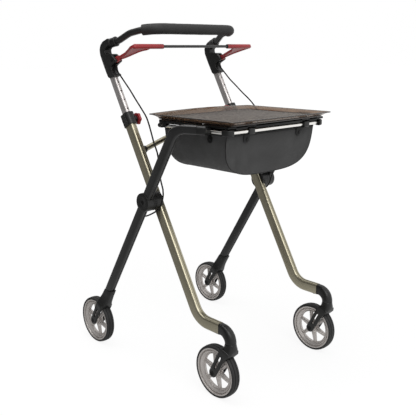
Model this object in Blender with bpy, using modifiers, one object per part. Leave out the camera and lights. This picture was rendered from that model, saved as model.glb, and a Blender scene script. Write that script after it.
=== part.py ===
"""Indoor rollator with a telescopic handle, a one-hand brake bar, a tray and a fabric basket.

Two side frames cross like scissors at a hub on each side. The light metal side tubes run from the
front casters up and back to the handle. The black legs run from the rear wheels up and forward to
the rails that carry the tray and the basket. Metres, +Z up, the floor is z = 0, the front is -Y,
the user's right side is -X, and y = 0 is midway between the front and rear wheels.
"""

import math

import bmesh
import bpy
from mathutils import Matrix, Vector

GAP = 0.0003
SIDES = ((-1, "r"), (1, "l"))

# Wheels
WHEEL_RADIUS = 0.075
RIM_HALF_WIDTH = 0.0125
FRONT_WHEEL = Vector((0.2104, -0.2615, WHEEL_RADIUS))
REAR_WHEEL = Vector((0.2524, 0.2615, WHEEL_RADIUS))
SPOKES = 6
HUB_RADIUS = 0.0125
AXLE_RADIUS = 0.004
AXLE_HALF_LENGTH = 0.019

# Side tubes, straight from the bend above the caster to the clamp collar
TUBE_X = 0.210
TUBE_WIDTH = 0.020
TUBE_DEPTH = 0.030
TUBE_CORNER = 0.008
TUBE_WALL = 0.0015
TUBE_LEAN = math.radians(29.47)
TUBE_FOOT_Y = -0.3045
TUBE_TOP_Z = 0.7445
TUBE_BEND_RADIUS = 0.047
FRONT_RUN_Z = 0.204
FRONT_RUN_END_Y = -0.2747

# Rear legs, straight from the rear fork through the hub to the bend under the tray
LEG_X = 0.251
LEG_LEAN = math.radians(32.21)
LEG_FOOT_Y = 0.3107
LEG_LOW_Z = 0.165
LEG_STUB_Z = 0.7335
LEG_STUB_END = Vector((0.214, -0.2265, LEG_STUB_Z))
LEG_BEND_RADIUS = 0.048
PIVOT = Vector((0.0, -0.0136, 0.5145))

# Telescopic handle
INNER_WIDTH = 0.0164
INNER_DEPTH = 0.0264
INNER_CORNER = 0.0065
INNER_INSERT = 0.110
HEAD_HALF_WIDTH = 0.0125
HANDLE_BAR_RADIUS = 0.0095
GRIP_RADIUS = 0.0155
GRIP_Y = 0.0485
GRIP_Z = 0.9875
BRAKE_ROD_Y = 0.0465
BRAKE_ROD_Z = 0.9387
BRAKE_ROD_RADIUS = 0.004
LEVER_PIVOT = Vector((0.210, 0.1655, 0.9005))

# Rails, basket and tray
RAIL_RADIUS = 0.005
RAIL_Z = 0.7245
SIDE_RAIL_X = 0.186
SIDE_RAIL_REAR_Y = -0.0051
FRONT_RAIL_Y = -0.2785
TRAY_HALF_WIDTH = 0.2025
TRAY_REAR_Y = 0.030
TRAY_FRONT_Y = -0.308
TRAY_CORNER = 0.012
TRAY_RIM_Z = 0.7555
TRAY_BASE_Z = 0.7405
TRAY_WALL = 0.0025
BASKET_FRONT_Y = -0.2595
BASKET_REAR_Y = -0.0115
BASKET_SOFT_Y = -0.0595
BASKET_HALF_WIDTH = 0.174
BASKET_TOP_Z = 0.7175
BASKET_LOW_Z = 0.5965
BASKET_TAPER = 0.0160
BASKET_SQUARENESS = 3.4
BASKET_WALL = 0.003
BASKET_CLIP_X = 0.100
BASKET_CLIP_SIZE = (0.026, 0.020, 0.018)

CABLE_RADIUS = 0.00225

COLLECTIONS = {}


def clear_scene():
    for old in list(bpy.data.objects):
        bpy.data.objects.remove(old, do_unlink=True)
    for name in ("indoor_rollator", "helpers"):
        COLLECTIONS[name] = bpy.data.collections.new(name)
        bpy.context.scene.collection.children.link(COLLECTIONS[name])


def linear(channel):
    return channel / 12.92 if channel <= 0.04045 else ((channel + 0.055) / 1.055) ** 2.4


def material(name, color, roughness, metallic=0.0):
    """A Principled material from a #rrggbb colour."""
    made = bpy.data.materials.get(name) or bpy.data.materials.new(name)
    made.use_nodes = True
    shader = made.node_tree.nodes["Principled BSDF"]
    channels = [int(color[i : i + 2], 16) / 255 for i in (1, 3, 5)]
    shader.inputs["Base Color"].default_value = (*map(linear, channels), 1)
    shader.inputs["Roughness"].default_value = roughness
    shader.inputs["Metallic"].default_value = metallic
    return made


CHAMPAGNE = ("champagne_aluminium", "#b9b39b", 0.35, 0.9)
SILVER = ("silver_aluminium", "#c9c6c2", 0.3, 0.95)
BLACK_METAL = ("black_powder_coat", "#2b2b2b", 0.45)
BLACK_PLASTIC = ("black_plastic", "#262626", 0.5)
FOAM = ("black_foam", "#2e2e2e", 0.85)
RED = ("red_plastic", "#9c3135", 0.4)
CHROME = ("chromed_steel", "#e8e6e2", 0.15, 1.0)
RIM_GREY = ("rim_grey_plastic", "#b5aea8", 0.45)
RUBBER = ("tyre_rubber", "#2f2f2f", 0.75)
FABRIC = ("basket_fabric", "#3f3f3f", 0.9)
SMOKED = ("smoked_tray", "#6a4c34", 0.2)
MAT = ("tray_mat", "#67635f", 0.9)
STEEL = ("zinc_steel", "#a8a8a8", 0.35, 1.0)


def finish(obj, name, look, smooth_angle=35):
    """Name the object, put it in the rollator's collection and give it its material."""
    obj.name = name
    obj.data.name = name
    for used in list(obj.users_collection):
        used.objects.unlink(obj)
    COLLECTIONS["indoor_rollator"].objects.link(obj)
    obj.data.materials.clear()
    obj.data.materials.append(material(*look))
    obj.data.shade_smooth()
    obj.data.set_sharp_from_angle(angle=math.radians(smooth_angle))
    return obj


def helper(obj, name):
    """A cutter or an added shape: never rendered, drawn as wire."""
    obj.name = name
    for used in list(obj.users_collection):
        used.objects.unlink(obj)
    COLLECTIONS["helpers"].objects.link(obj)
    obj.hide_render = True
    obj.display_type = "WIRE"
    return obj


def boolean(target, other, operation):
    helper(other, f"{target.name}_{operation.lower()}")
    step = target.modifiers.new(other.name, "BOOLEAN")
    step.operation = operation
    step.solver = "EXACT"
    step.object = other


def cut(target, *others):
    for other in others:
        boolean(target, other, "DIFFERENCE")


def join(target, *others):
    for other in others:
        boolean(target, other, "UNION")


def mesh_object(bm, name="shape"):
    bmesh.ops.recalc_face_normals(bm, faces=bm.faces[:])
    mesh = bpy.data.meshes.new(name)
    bm.to_mesh(mesh)
    bm.free()
    obj = bpy.data.objects.new(name, mesh)
    bpy.context.scene.collection.objects.link(obj)
    return obj


def as_mesh(curve_obj):
    """The curve object's evaluated shape as a welded mesh object; the curve is removed."""
    bpy.context.view_layer.update()
    evaluated = curve_obj.evaluated_get(bpy.context.evaluated_depsgraph_get())
    mesh = bpy.data.meshes.new_from_object(evaluated)
    bm = bmesh.new()
    bm.from_mesh(mesh)
    bmesh.ops.remove_doubles(bm, verts=bm.verts[:], dist=1e-6)
    bpy.data.meshes.remove(mesh)
    obj = mesh_object(bm)
    obj.matrix_world = curve_obj.matrix_world.copy()
    bpy.data.objects.remove(curve_obj, do_unlink=True)
    return obj


def curve_object(dimensions):
    data = bpy.data.curves.new("curve", "CURVE")
    data.dimensions = dimensions
    obj = bpy.data.objects.new("curve", data)
    bpy.context.scene.collection.objects.link(obj)
    return obj


def add_spline(obj, points, cyclic=False):
    spline = obj.data.splines.new("POLY")
    spline.points.add(len(points) - 1)
    for place, point in zip(spline.points, points):
        place.co = (*point, *([0.0] * (3 - len(point))), 1.0)
    spline.use_cyclic_u = cyclic


def cylinder(radius, start, end, sides=24):
    """A closed cylinder between two points."""
    start, end = Vector(start), Vector(end)
    bm = bmesh.new()
    bmesh.ops.create_cone(
        bm, cap_ends=True, segments=sides, radius1=radius, radius2=radius, depth=(end - start).length
    )
    obj = mesh_object(bm)
    obj.location = (start + end) / 2
    obj.rotation_euler = (end - start).to_track_quat("Z", "Y").to_euler()
    return obj


def box(size, centre, bevel=0.0):
    """A closed box with bevelled edges."""
    bm = bmesh.new()
    bmesh.ops.create_cube(bm, size=1.0, matrix=Matrix.Diagonal((*size, 1.0)))
    obj = mesh_object(bm)
    obj.location = centre
    if bevel:
        rounding = obj.modifiers.new("rounded edges", "BEVEL")
        rounding.width = bevel
        rounding.segments = 2
    return obj


def plate(outline, middle_x, thickness):
    """A flat outline of (y, z) points, extruded along X about middle_x."""
    obj = curve_object("2D")
    obj.data.fill_mode = "BOTH"
    obj.data.extrude = thickness / 2
    add_spline(obj, outline, cyclic=True)
    obj.matrix_world = Matrix(((0, 0, 1, middle_x), (1, 0, 0, 0), (0, 1, 0, 0), (0, 0, 0, 1)))
    return as_mesh(obj)


def round_tube(points, radius, resolution=2):
    """A closed round rod along a line of points."""
    obj = curve_object("3D")
    obj.data.bevel_depth = radius
    obj.data.bevel_resolution = resolution
    obj.data.use_fill_caps = True
    add_spline(obj, points)
    return as_mesh(obj)


def section_tube(points, section, caps=True):
    """A tube of any section along a line of points, its sides kept upright."""
    profile = curve_object("2D")
    add_spline(profile, section, cyclic=True)
    obj = curve_object("3D")
    obj.data.twist_mode = "Z_UP"
    obj.data.bevel_mode = "OBJECT"
    obj.data.bevel_object = profile
    obj.data.use_fill_caps = caps
    add_spline(obj, points)
    made = as_mesh(obj)
    bpy.data.objects.remove(profile, do_unlink=True)
    return made


def rounded_rectangle(width, depth, corner, steps=3):
    points = []
    for quarter in range(4):
        middle_x = (width / 2 - corner) * (1 if quarter in (0, 3) else -1)
        middle_y = (depth / 2 - corner) * (1 if quarter in (0, 1) else -1)
        for step in range(steps + 1):
            angle = math.pi / 2 * (quarter + step / steps)
            points.append((middle_x + corner * math.cos(angle), middle_y + corner * math.sin(angle)))
    return points


def filleted(points, radii, turn=math.radians(12)):
    """The line through the points with its inner corners rounded to the radii."""
    points = [Vector(p) for p in points]
    out = [points[0]]
    for before, corner, after, radius in zip(points, points[1:], points[2:], radii):
        arriving = (corner - before).normalized()
        leaving = (after - corner).normalized()
        angle = arriving.angle(leaving)
        reach = radius * math.tan(angle / 2)
        axis = arriving.cross(leaving).normalized()
        start = corner - arriving * reach
        centre = start + axis.cross(arriving) * radius
        steps = max(2, round(angle / turn))
        for step in range(steps + 1):
            spin = Matrix.Rotation(angle * step / steps, 3, axis)
            out.append(centre + spin @ (start - centre))
    return out + [points[-1]]


def smooth_line(points, spacing):
    """Evenly spaced points on a Catmull-Rom curve through the given points."""
    points = [Vector(p) for p in points]
    ends = [2 * points[0] - points[1], *points, 2 * points[-1] - points[-2]]
    fine = [points[0]]
    for a, b, c, d in zip(ends, ends[1:], ends[2:], ends[3:]):
        for step in range(1, 17):
            t = step / 16
            linear_part = 2 * b + (c - a) * t
            square_part = (2 * a - 5 * b + 4 * c - d) * t**2
            cubic_part = (3 * b - a - 3 * c + d) * t**3
            fine.append((linear_part + square_part + cubic_part) / 2)
    length = sum((q - p).length for p, q in zip(fine, fine[1:]))
    count = max(3, round(length / spacing))
    out = [fine[0]]
    walked = 0.0
    for p, q in zip(fine, fine[1:]):
        run = (q - p).length
        while len(out) < count and walked + run >= length * len(out) / count:
            out.append(p.lerp(q, (length * len(out) / count - walked) / run))
        walked += run
    return out + [fine[-1]]


def turned(profile, place, closed, steps=28):
    """A profile of (radius, along) points spun about its axis. place puts local Z on that axis."""
    bm = bmesh.new()
    verts = [bm.verts.new((radius, 0.0, along)) for radius, along in profile]
    for a, b in zip(verts, verts[1:]):
        bm.edges.new((a, b))
    if closed:
        bm.edges.new((verts[-1], verts[0]))
    mesh = bpy.data.meshes.new("turned")
    bm.to_mesh(mesh)
    bm.free()
    obj = bpy.data.objects.new("turned", mesh)
    bpy.context.scene.collection.objects.link(obj)
    obj.matrix_world = place
    spin = obj.modifiers.new("turn", "SCREW")
    spin.steps = steps
    spin.render_steps = steps
    spin.use_merge_vertices = True
    spin.merge_threshold = 1e-5
    return obj


def along_x(x, y, z, direction=1):
    """A frame at the point whose local Z runs along world X."""
    turn = Matrix.Rotation(math.radians(90 * direction), 4, "Y")
    return Matrix.Translation((x, y, z)) @ turn


def loft(rings):
    """A closed skin over rings of points that all have the same number of points."""
    bm = bmesh.new()
    rows = [[bm.verts.new(point) for point in ring] for ring in rings]
    for lower, upper in zip(rows, rows[1:]):
        for i in range(len(lower)):
            j = (i + 1) % len(lower)
            bm.faces.new((lower[i], lower[j], upper[j], upper[i]))
    bm.faces.new(rows[0][::-1])
    bm.faces.new(rows[-1])
    return mesh_object(bm)


def ring(middle, across, deep, half_width, half_depth, power, count=16):
    """A superellipse of points: power 2 is an ellipse, and a higher one is squarer."""
    points = []
    for i in range(count):
        angle = 2 * math.pi * (i + 0.5) / count
        c, s = math.cos(angle), math.sin(angle)
        a = math.copysign(abs(c) ** (2 / power), c) * half_width
        b = math.copysign(abs(s) ** (2 / power), s) * half_depth
        points.append(Vector(middle) + Vector(across) * a + Vector(deep) * b)
    return points


def tube_axis(side, z):
    return Vector((side * TUBE_X, TUBE_FOOT_Y + z * math.tan(TUBE_LEAN), z))


def leg_axis(side, z):
    return Vector((side * LEG_X, LEG_FOOT_Y - z * math.tan(LEG_LEAN), z))


LEG_UP = Vector((0, -math.sin(LEG_LEAN), math.cos(LEG_LEAN)))
LEG_BACK = Vector((0, math.cos(LEG_LEAN), math.sin(LEG_LEAN)))
ACROSS = Vector((1, 0, 0))


def hollow(obj, wall):
    shell = obj.modifiers.new("tube wall", "SOLIDIFY")
    shell.thickness = wall
    shell.offset = -1
    shell.use_even_offset = True


def side_tubes():
    section = rounded_rectangle(TUBE_WIDTH, TUBE_DEPTH, TUBE_CORNER)
    corner_z = FRONT_RUN_Z
    for side, end in SIDES:
        corner = tube_axis(side, corner_z)
        front = Vector((side * TUBE_X, FRONT_RUN_END_Y, FRONT_RUN_Z))
        path = filleted([front, corner, tube_axis(side, TUBE_TOP_Z)], [TUBE_BEND_RADIUS])
        tube = section_tube(path, section, caps=False)
        hollow(tube, TUBE_WALL)
        finish(tube, f"side_tube_{end}", CHAMPAGNE)


# Crossbar between the side tubes
CROSSBAR_Y = 0.0635
CROSSBAR_END_Z = 0.6525
CROSSBAR_MIDDLE_Z = 0.6805
CROSSBAR_RISE_END_X = 0.105
CROSSBAR_RADIUS = 0.008
FERRULE_RADIUS = 0.0105
FERRULE_LENGTH = 0.012


def crossbar():
    end_x = TUBE_X - TUBE_WIDTH / 2 - GAP
    path = filleted(
        [
            (-end_x, CROSSBAR_Y, CROSSBAR_END_Z),
            (FERRULE_LENGTH - end_x, CROSSBAR_Y, CROSSBAR_END_Z),
            (-CROSSBAR_RISE_END_X, CROSSBAR_Y, CROSSBAR_MIDDLE_Z),
            (CROSSBAR_RISE_END_X, CROSSBAR_Y, CROSSBAR_MIDDLE_Z),
            (end_x - FERRULE_LENGTH, CROSSBAR_Y, CROSSBAR_END_Z),
            (end_x, CROSSBAR_Y, CROSSBAR_END_Z),
        ],
        [0.025, 0.08, 0.08, 0.025],
    )
    bar = finish(round_tube(path, CROSSBAR_RADIUS), "crossbar", CHAMPAGNE)
    for side, _ in SIDES:
        start = (side * end_x, CROSSBAR_Y, CROSSBAR_END_Z)
        stop = (side * (end_x - FERRULE_LENGTH), CROSSBAR_Y, CROSSBAR_END_Z)
        join(bar, cylinder(FERRULE_RADIUS, start, stop, sides=16))


# Clamp collars and their knobs
COLLAR_LOW_Z = 0.7165
COLLAR_HIGH_Z = 0.7485
COLLAR_WIDTH = 0.031
COLLAR_DEPTH = 0.041
COLLAR_CORNER = 0.013
KNOB_Y = 0.1035
KNOB_Z = 0.7345
KNOB_RADIUS = 0.0168
KNOB_LOBES = 6
KNOB_LOBE = 0.0012
KNOB_OUTER_X = 0.188
KNOB_INNER_X = 0.1795
KNOB_POINTS = 36
STEM_RADIUS = 0.003
COLLAR_BOSS_RADIUS = 0.009
COLLAR_BOSS_X = 0.197
BEYOND = 0.020


def on_side_tube(side, low_z, high_z, section):
    """A straight piece of the given section on a side tube's axis."""
    return section_tube([tube_axis(side, low_z), tube_axis(side, high_z)], section)


def knob_outline():
    """The knob's round outline with its shallow lobes."""
    outline = []
    for i in range(KNOB_POINTS):
        angle = 2 * math.pi * i / KNOB_POINTS
        radius = KNOB_RADIUS + KNOB_LOBE * math.cos(KNOB_LOBES * angle)
        outline.append((radius * math.cos(angle), radius * math.sin(angle)))
    return outline


def at_knob(side, x):
    return (side * x, KNOB_Y, KNOB_Z)


def collars_and_knobs():
    body = rounded_rectangle(COLLAR_WIDTH, COLLAR_DEPTH, COLLAR_CORNER)
    seat = rounded_rectangle(TUBE_WIDTH + 2 * GAP, TUBE_DEPTH + 2 * GAP, TUBE_CORNER + GAP)
    bore = rounded_rectangle(TUBE_WIDTH - 2 * TUBE_WALL, TUBE_DEPTH - 2 * TUBE_WALL, TUBE_CORNER - TUBE_WALL)
    tube_side = TUBE_X - TUBE_WIDTH / 2
    for side, end in SIDES:
        collar = on_side_tube(side, COLLAR_LOW_Z, COLLAR_HIGH_Z, body)
        finish(collar, f"clamp_collar_{end}", BLACK_PLASTIC)
        boss_ends = [at_knob(side, COLLAR_BOSS_X), at_knob(side, KNOB_OUTER_X + GAP)]
        join(collar, cylinder(COLLAR_BOSS_RADIUS, *boss_ends, sides=16))
        cut(collar, on_side_tube(side, COLLAR_LOW_Z - BEYOND, TUBE_TOP_Z + GAP, seat))
        cut(collar, on_side_tube(side, COLLAR_LOW_Z, COLLAR_HIGH_Z + BEYOND, bore))
        hole_ends = [at_knob(side, KNOB_OUTER_X - 0.002), at_knob(side, tube_side + 0.001)]
        cut(collar, cylinder(STEM_RADIUS + GAP, *hole_ends, sides=12))

        thickness = KNOB_OUTER_X - KNOB_INNER_X
        middle = (KNOB_OUTER_X + KNOB_INNER_X) / 2
        knob = plate(knob_outline(), side * middle, thickness)
        knob.location = at_knob(side, middle)
        finish(knob, f"clamp_knob_{end}", RED)
        stem_ends = [at_knob(side, KNOB_OUTER_X - 0.003), at_knob(side, tube_side - 2 * GAP)]
        join(knob, cylinder(STEM_RADIUS, *stem_ends, sides=12))


# Handle heads: the side outline of (y, z) points, rear edge first, from the bottom up and round
HEAD_BOTTOM_REAR = (0.1865, 0.8475)
HEAD_OUTLINE = [
    HEAD_BOTTOM_REAR,
    (0.1995, 0.8685),
    (0.2125, 0.8915),
    (0.2250, 0.9155),
    (0.2275, 0.9305),
    (0.2225, 0.9435),
    (0.2105, 0.9540),
    (0.1895, 0.9610),
    (0.1805, 0.9630),
    (0.1805, 0.9440),
    (0.1925, 0.9380),
    (0.2015, 0.9305),
    (0.2005, 0.9235),
    (0.1985, 0.9190),
    (0.1690, 0.9190),
    (0.1620, 0.9120),
    (0.1480, 0.9015),
    (0.1485, 0.8975),
    (0.1785, 0.8815),
    (0.1845, 0.8790),
    (0.1755, 0.8760),
    (0.1640, 0.8640),
    (0.1500, 0.8595),
]
HEAD_SOCKET_LOW_Z = 0.8300
HEAD_SOCKET_TOP_Z = 0.8880
LEVER_SLOT_SIZE = (0.0110, 0.0600, 0.0265)
LEVER_SLOT_Y = 0.1500
LEVER_SLOT_Z = 0.9025
HANDLE_START = Vector((0.2060, 0.1985, 0.9480))
HANDLE_EXIT = Vector((0.1955, 0.1625, 0.9570))
HANDLE_BOW = Vector((0.1830, 0.1270, 0.9765))
GRIP_END = Vector((0.1716, 0.0863, 0.9842))
GRIP_CORNER = Vector((0.1440, GRIP_Y, GRIP_Z))
HEAD_MOUTH = 0.75
HEAD_MOUTH_RADIUS = 0.0135
HEAD_BORE_GAP = 0.0010
INNER_TOP_Z = 0.8860
INNER_WALL = 0.0012


def inner_tube_low():
    """Where the silver tubes end inside the side tubes."""
    return COLLAR_HIGH_Z - INNER_INSERT * math.cos(TUBE_LEAN)


def handle_line():
    """Half of the handle bar's centre line, from the head to the middle."""
    return [HANDLE_START, HANDLE_EXIT, HANDLE_BOW, GRIP_END, GRIP_CORNER, Vector((0.0, GRIP_Y, GRIP_Z))]


def handle_path():
    right = [Vector((-p.x, p.y, p.z)) for p in handle_line()]
    left = list(reversed(handle_line()))[1:]
    corners = right[:-1] + left
    radii = [0.03, 0.05, 0.05, 0.045, 0.045, 0.05, 0.05, 0.03]
    return filleted(corners, radii)


def grip_path():
    """The stretch of the handle bar that the foam covers."""
    path = handle_path()
    start = Vector((-GRIP_END.x, GRIP_END.y, GRIP_END.z))
    first = min(range(len(path)), key=lambda i: (path[i] - start).length)
    return path[first : len(path) - first]


def handle():
    solid = rounded_rectangle(INNER_WIDTH, INNER_DEPTH, INNER_CORNER)
    roomy = rounded_rectangle(INNER_WIDTH + 2 * GAP, INNER_DEPTH + 2 * GAP, INNER_CORNER + GAP)
    for side, end in SIDES:
        path = [tube_axis(side, inner_tube_low()), tube_axis(side, INNER_TOP_Z)]
        inner = section_tube(path, solid, caps=False)
        hollow(inner, INNER_WALL)
        finish(inner, f"silver_tube_{end}", SILVER)

        head = plate(HEAD_OUTLINE, side * TUBE_X, 2 * HEAD_HALF_WIDTH)
        finish(head, f"handle_head_{end}", BLACK_PLASTIC)
        cut(head, on_side_tube(side, HEAD_SOCKET_LOW_Z, HEAD_SOCKET_TOP_Z, roomy))
        cut(head, box(LEVER_SLOT_SIZE, (side * TUBE_X, LEVER_SLOT_Y, LEVER_SLOT_Z)))
        inward = (HANDLE_EXIT - HANDLE_START).normalized()
        start = HANDLE_START - inward * GAP
        mouth = HANDLE_START.lerp(HANDLE_EXIT, HEAD_MOUTH)
        beyond = HANDLE_EXIT + inward * 0.05
        start, mouth, beyond = [Vector((side * p.x, p.y, p.z)) for p in (start, mouth, beyond)]
        join(head, cylinder(HEAD_MOUTH_RADIUS, start, mouth, sides=16))
        cut(head, cylinder(HANDLE_BAR_RADIUS + HEAD_BORE_GAP, start, beyond, sides=16))

    bar = round_tube(handle_path(), HANDLE_BAR_RADIUS)
    finish(bar, "handle_bar", BLACK_METAL)
    grip = round_tube(grip_path(), GRIP_RADIUS)
    finish(grip, "foam_grip", FOAM)
    cut(grip, round_tube(handle_path(), HANDLE_BAR_RADIUS + GAP))


# Brake levers: (distance from the pivot line, |x|) points, from the root round the outside to the rod
LEVER_OUTLINE = [
    (-0.006, 0.2050),
    (-0.006, 0.2150),
    (0.030, 0.2150),
    (0.062, 0.2165),
    (0.092, 0.2260),
    (0.112, 0.2340),
    (0.124, 0.2345),
    (0.131, 0.2310),
    (0.131, 0.1680),
    (0.104, 0.1680),
    (0.097, 0.1780),
    (0.085, 0.1850),
    (0.060, 0.1900),
    (0.042, 0.1935),
    (0.026, 0.1990),
    (0.019, 0.2050),
]
LEVER_HALF_THICKNESS = 0.0042
LEVER_ROOT_SIZE = (0.0100, 0.0260, 0.0150)
LEVER_ROOT_AWAY = 0.0110
SLEEVE_OUTER_X = 0.2290
SLEEVE_END_X = 0.1280
SLEEVE_RADIUS = 0.0066
ROD_INSERT = 0.0295


def on_rod_line(side, x):
    return (side * x, BRAKE_ROD_Y, BRAKE_ROD_Z)


def brake_bar():
    reach = Vector((0, BRAKE_ROD_Y - LEVER_PIVOT.y, BRAKE_ROD_Z - LEVER_PIVOT.z))
    forward = reach.normalized()
    upward = forward.cross(ACROSS)
    rise = math.atan2(forward.z, -forward.y)
    for side, end in SIDES:
        rings = []
        for half in (-LEVER_HALF_THICKNESS, LEVER_HALF_THICKNESS):
            rings.append(
                [
                    Vector((side * across, LEVER_PIVOT.y, LEVER_PIVOT.z)) + forward * away + upward * half
                    for away, across in LEVER_OUTLINE
                ]
            )
        lever = finish(loft(rings), f"brake_lever_{end}", RED)
        pivot = Vector((side * TUBE_X, LEVER_PIVOT.y, LEVER_PIVOT.z))
        root = box(LEVER_ROOT_SIZE, pivot + forward * LEVER_ROOT_AWAY)
        root.rotation_euler = (-rise, 0, 0)
        join(lever, root)
        sleeve_ends = [on_rod_line(side, x) for x in (SLEEVE_END_X, SLEEVE_OUTER_X)]
        join(lever, cylinder(SLEEVE_RADIUS, *sleeve_ends, sides=16))
        bore_xs = (SLEEVE_END_X - 0.010, SLEEVE_END_X + ROD_INSERT + 2 * GAP)
        bore_ends = [on_rod_line(side, x) for x in bore_xs]
        cut(lever, cylinder(BRAKE_ROD_RADIUS + GAP, *bore_ends, sides=16))

    ends = [on_rod_line(side, SLEEVE_END_X + ROD_INSERT) for side, _ in SIDES]
    finish(cylinder(BRAKE_ROD_RADIUS, *ends, sides=16), "brake_rod", BLACK_METAL)


# Brake cable route as (x, y, z) points beside the left side tube, mirrored for the right
CABLE_TOP = [
    (0.2085, 0.1650, 0.8800),
    (0.2095, 0.1577, 0.8705),
    (0.2100, 0.1169, 0.8346),
    (0.2120, 0.0957, 0.8185),
    (0.2160, 0.0632, 0.7921),
    (0.2200, 0.0330, 0.7690),
    (0.2220, 0.0048, 0.7405),
    (0.2260, -0.0103, 0.7116),
    (0.2280, -0.0293, 0.6804),
    (0.2300, -0.0470, 0.6494),
    (0.2300, -0.0555, 0.5885),
    (0.2276, -0.0630, 0.5560),
]
CABLE_LOW = [
    (0.2274, -0.0631, 0.5545),
    (0.2265, -0.0615, 0.5330),
    (0.2265, -0.0480, 0.5020),
    (0.2290, -0.0300, 0.4860),
    (0.2302, -0.0080, 0.4740),
    (0.2310, 0.0070, 0.4672),
    (0.2340, 0.0145, 0.4648),
    (0.2396, 0.0150, 0.4645),
]


def cables():
    for side, end in SIDES:
        for route, name, spacing in (
            (CABLE_TOP, "brake_cable_upper", 0.018),
            (CABLE_LOW, "brake_cable_lower", 0.010),
        ):
            points = smooth_line([(side * x, y, z) for x, y, z in route], spacing)
            finish(round_tube(points, CABLE_RADIUS), f"{name}_{end}", BLACK_PLASTIC)


# Hubs, where the legs cross the side tubes
HUB_SADDLE_RADIUS = 0.0275
HUB_SADDLE_OUTER_X = 0.231
HUB_SADDLE_INNER_X = 0.208
HUB_SPACER_RADIUS = 0.0215
HUB_BOLT_RADIUS = 0.005
HUB_CAP_RADIUS = 0.027
HUB_CAP_OUTER_X = 0.2645
HUB_CAP_EDGE = 0.0015
HUB_BOLT_BITE = 0.003


def at_pivot(side, x):
    return (side * x, PIVOT.y, PIVOT.z)


def hubs():
    leg_inner_x = LEG_X - TUBE_WIDTH / 2
    leg_outer_x = LEG_X + TUBE_WIDTH / 2
    bolt_end = TUBE_X + TUBE_WIDTH / 2 + HUB_BOLT_BITE
    roomy = rounded_rectangle(TUBE_WIDTH + 2 * GAP, TUBE_DEPTH + 2 * GAP, TUBE_CORNER + GAP)
    for side, end in SIDES:
        boss_ends = [at_pivot(side, HUB_SADDLE_INNER_X), at_pivot(side, HUB_SADDLE_OUTER_X)]
        boss = finish(cylinder(HUB_SADDLE_RADIUS, *boss_ends, sides=20), f"hub_saddle_{end}", BLACK_PLASTIC)
        spacer_ends = [at_pivot(side, HUB_SADDLE_OUTER_X - 0.004), at_pivot(side, leg_inner_x - GAP)]
        join(boss, cylinder(HUB_SPACER_RADIUS, *spacer_ends, sides=20))
        cut(boss, on_side_tube(side, PIVOT.z - 0.06, PIVOT.z + 0.06, roomy))
        bore_ends = [at_pivot(side, bolt_end - GAP), at_pivot(side, leg_inner_x + 0.01)]
        cut(boss, cylinder(HUB_BOLT_RADIUS + GAP, *bore_ends, sides=16))

        cap = turned(
            [
                (0.0, HUB_CAP_OUTER_X - HUB_CAP_EDGE),
                (0.0085, HUB_CAP_OUTER_X - 2 * HUB_CAP_EDGE),
                (0.0125, HUB_CAP_OUTER_X),
                (HUB_CAP_RADIUS - 0.002, HUB_CAP_OUTER_X),
                (HUB_CAP_RADIUS, HUB_CAP_OUTER_X - HUB_CAP_EDGE),
                (HUB_CAP_RADIUS, leg_outer_x + GAP),
                (HUB_BOLT_RADIUS, leg_outer_x + GAP),
                (HUB_BOLT_RADIUS, bolt_end),
                (0.0, bolt_end),
            ],
            along_x(0, PIVOT.y, PIVOT.z, side),
            closed=False,
            steps=24,
        )
        finish(cap, f"hub_cap_{end}", BLACK_PLASTIC)


def rear_legs():
    section = rounded_rectangle(TUBE_WIDTH, TUBE_DEPTH, TUBE_CORNER)
    for side, end in SIDES:
        stub_end = Vector((side * LEG_STUB_END.x, LEG_STUB_END.y, LEG_STUB_END.z))
        corner = leg_axis(side, LEG_STUB_Z + 0.0015)
        path = filleted([leg_axis(side, LEG_LOW_Z), corner, stub_end], [LEG_BEND_RADIUS])
        leg = section_tube(path, section, caps=False)
        hollow(leg, TUBE_WALL)
        finish(leg, f"rear_leg_{end}", BLACK_METAL)
        bolt_ends = [at_pivot(side, LEG_X - 0.03), at_pivot(side, LEG_X + 0.03)]
        cut(leg, cylinder(HUB_BOLT_RADIUS + GAP, *bolt_ends, sides=16))


# Caster elbows and forks
SWIVEL_X = 0.2095
SWIVEL_Y = -0.3115
PARTING_Z = 0.1735
ELBOW_RADIUS = 0.0157
STEM_HOLE_TOP = 0.2010
SWIVEL_STEM_RADIUS = 0.006
FORK_INNER = 0.0160
FORK_OUTER = 0.0210
FORK_CLEAR_RADIUS = 0.0790
TIP_RADIUS = 0.0130
ARM_LEAN = math.radians(28.7)
ELBOW_HALF_WIDTH = 0.0105
ELBOW_HALF_HEIGHT = 0.0155
ELBOW_SQUARENESS = 4.2
ELBOW_STEPS = 6
PLUG_GAP = 0.0006
PLUG_LENGTH = 0.024
UP = Vector((0, 0, 1))
BACK = Vector((0, 1, 0))


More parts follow.
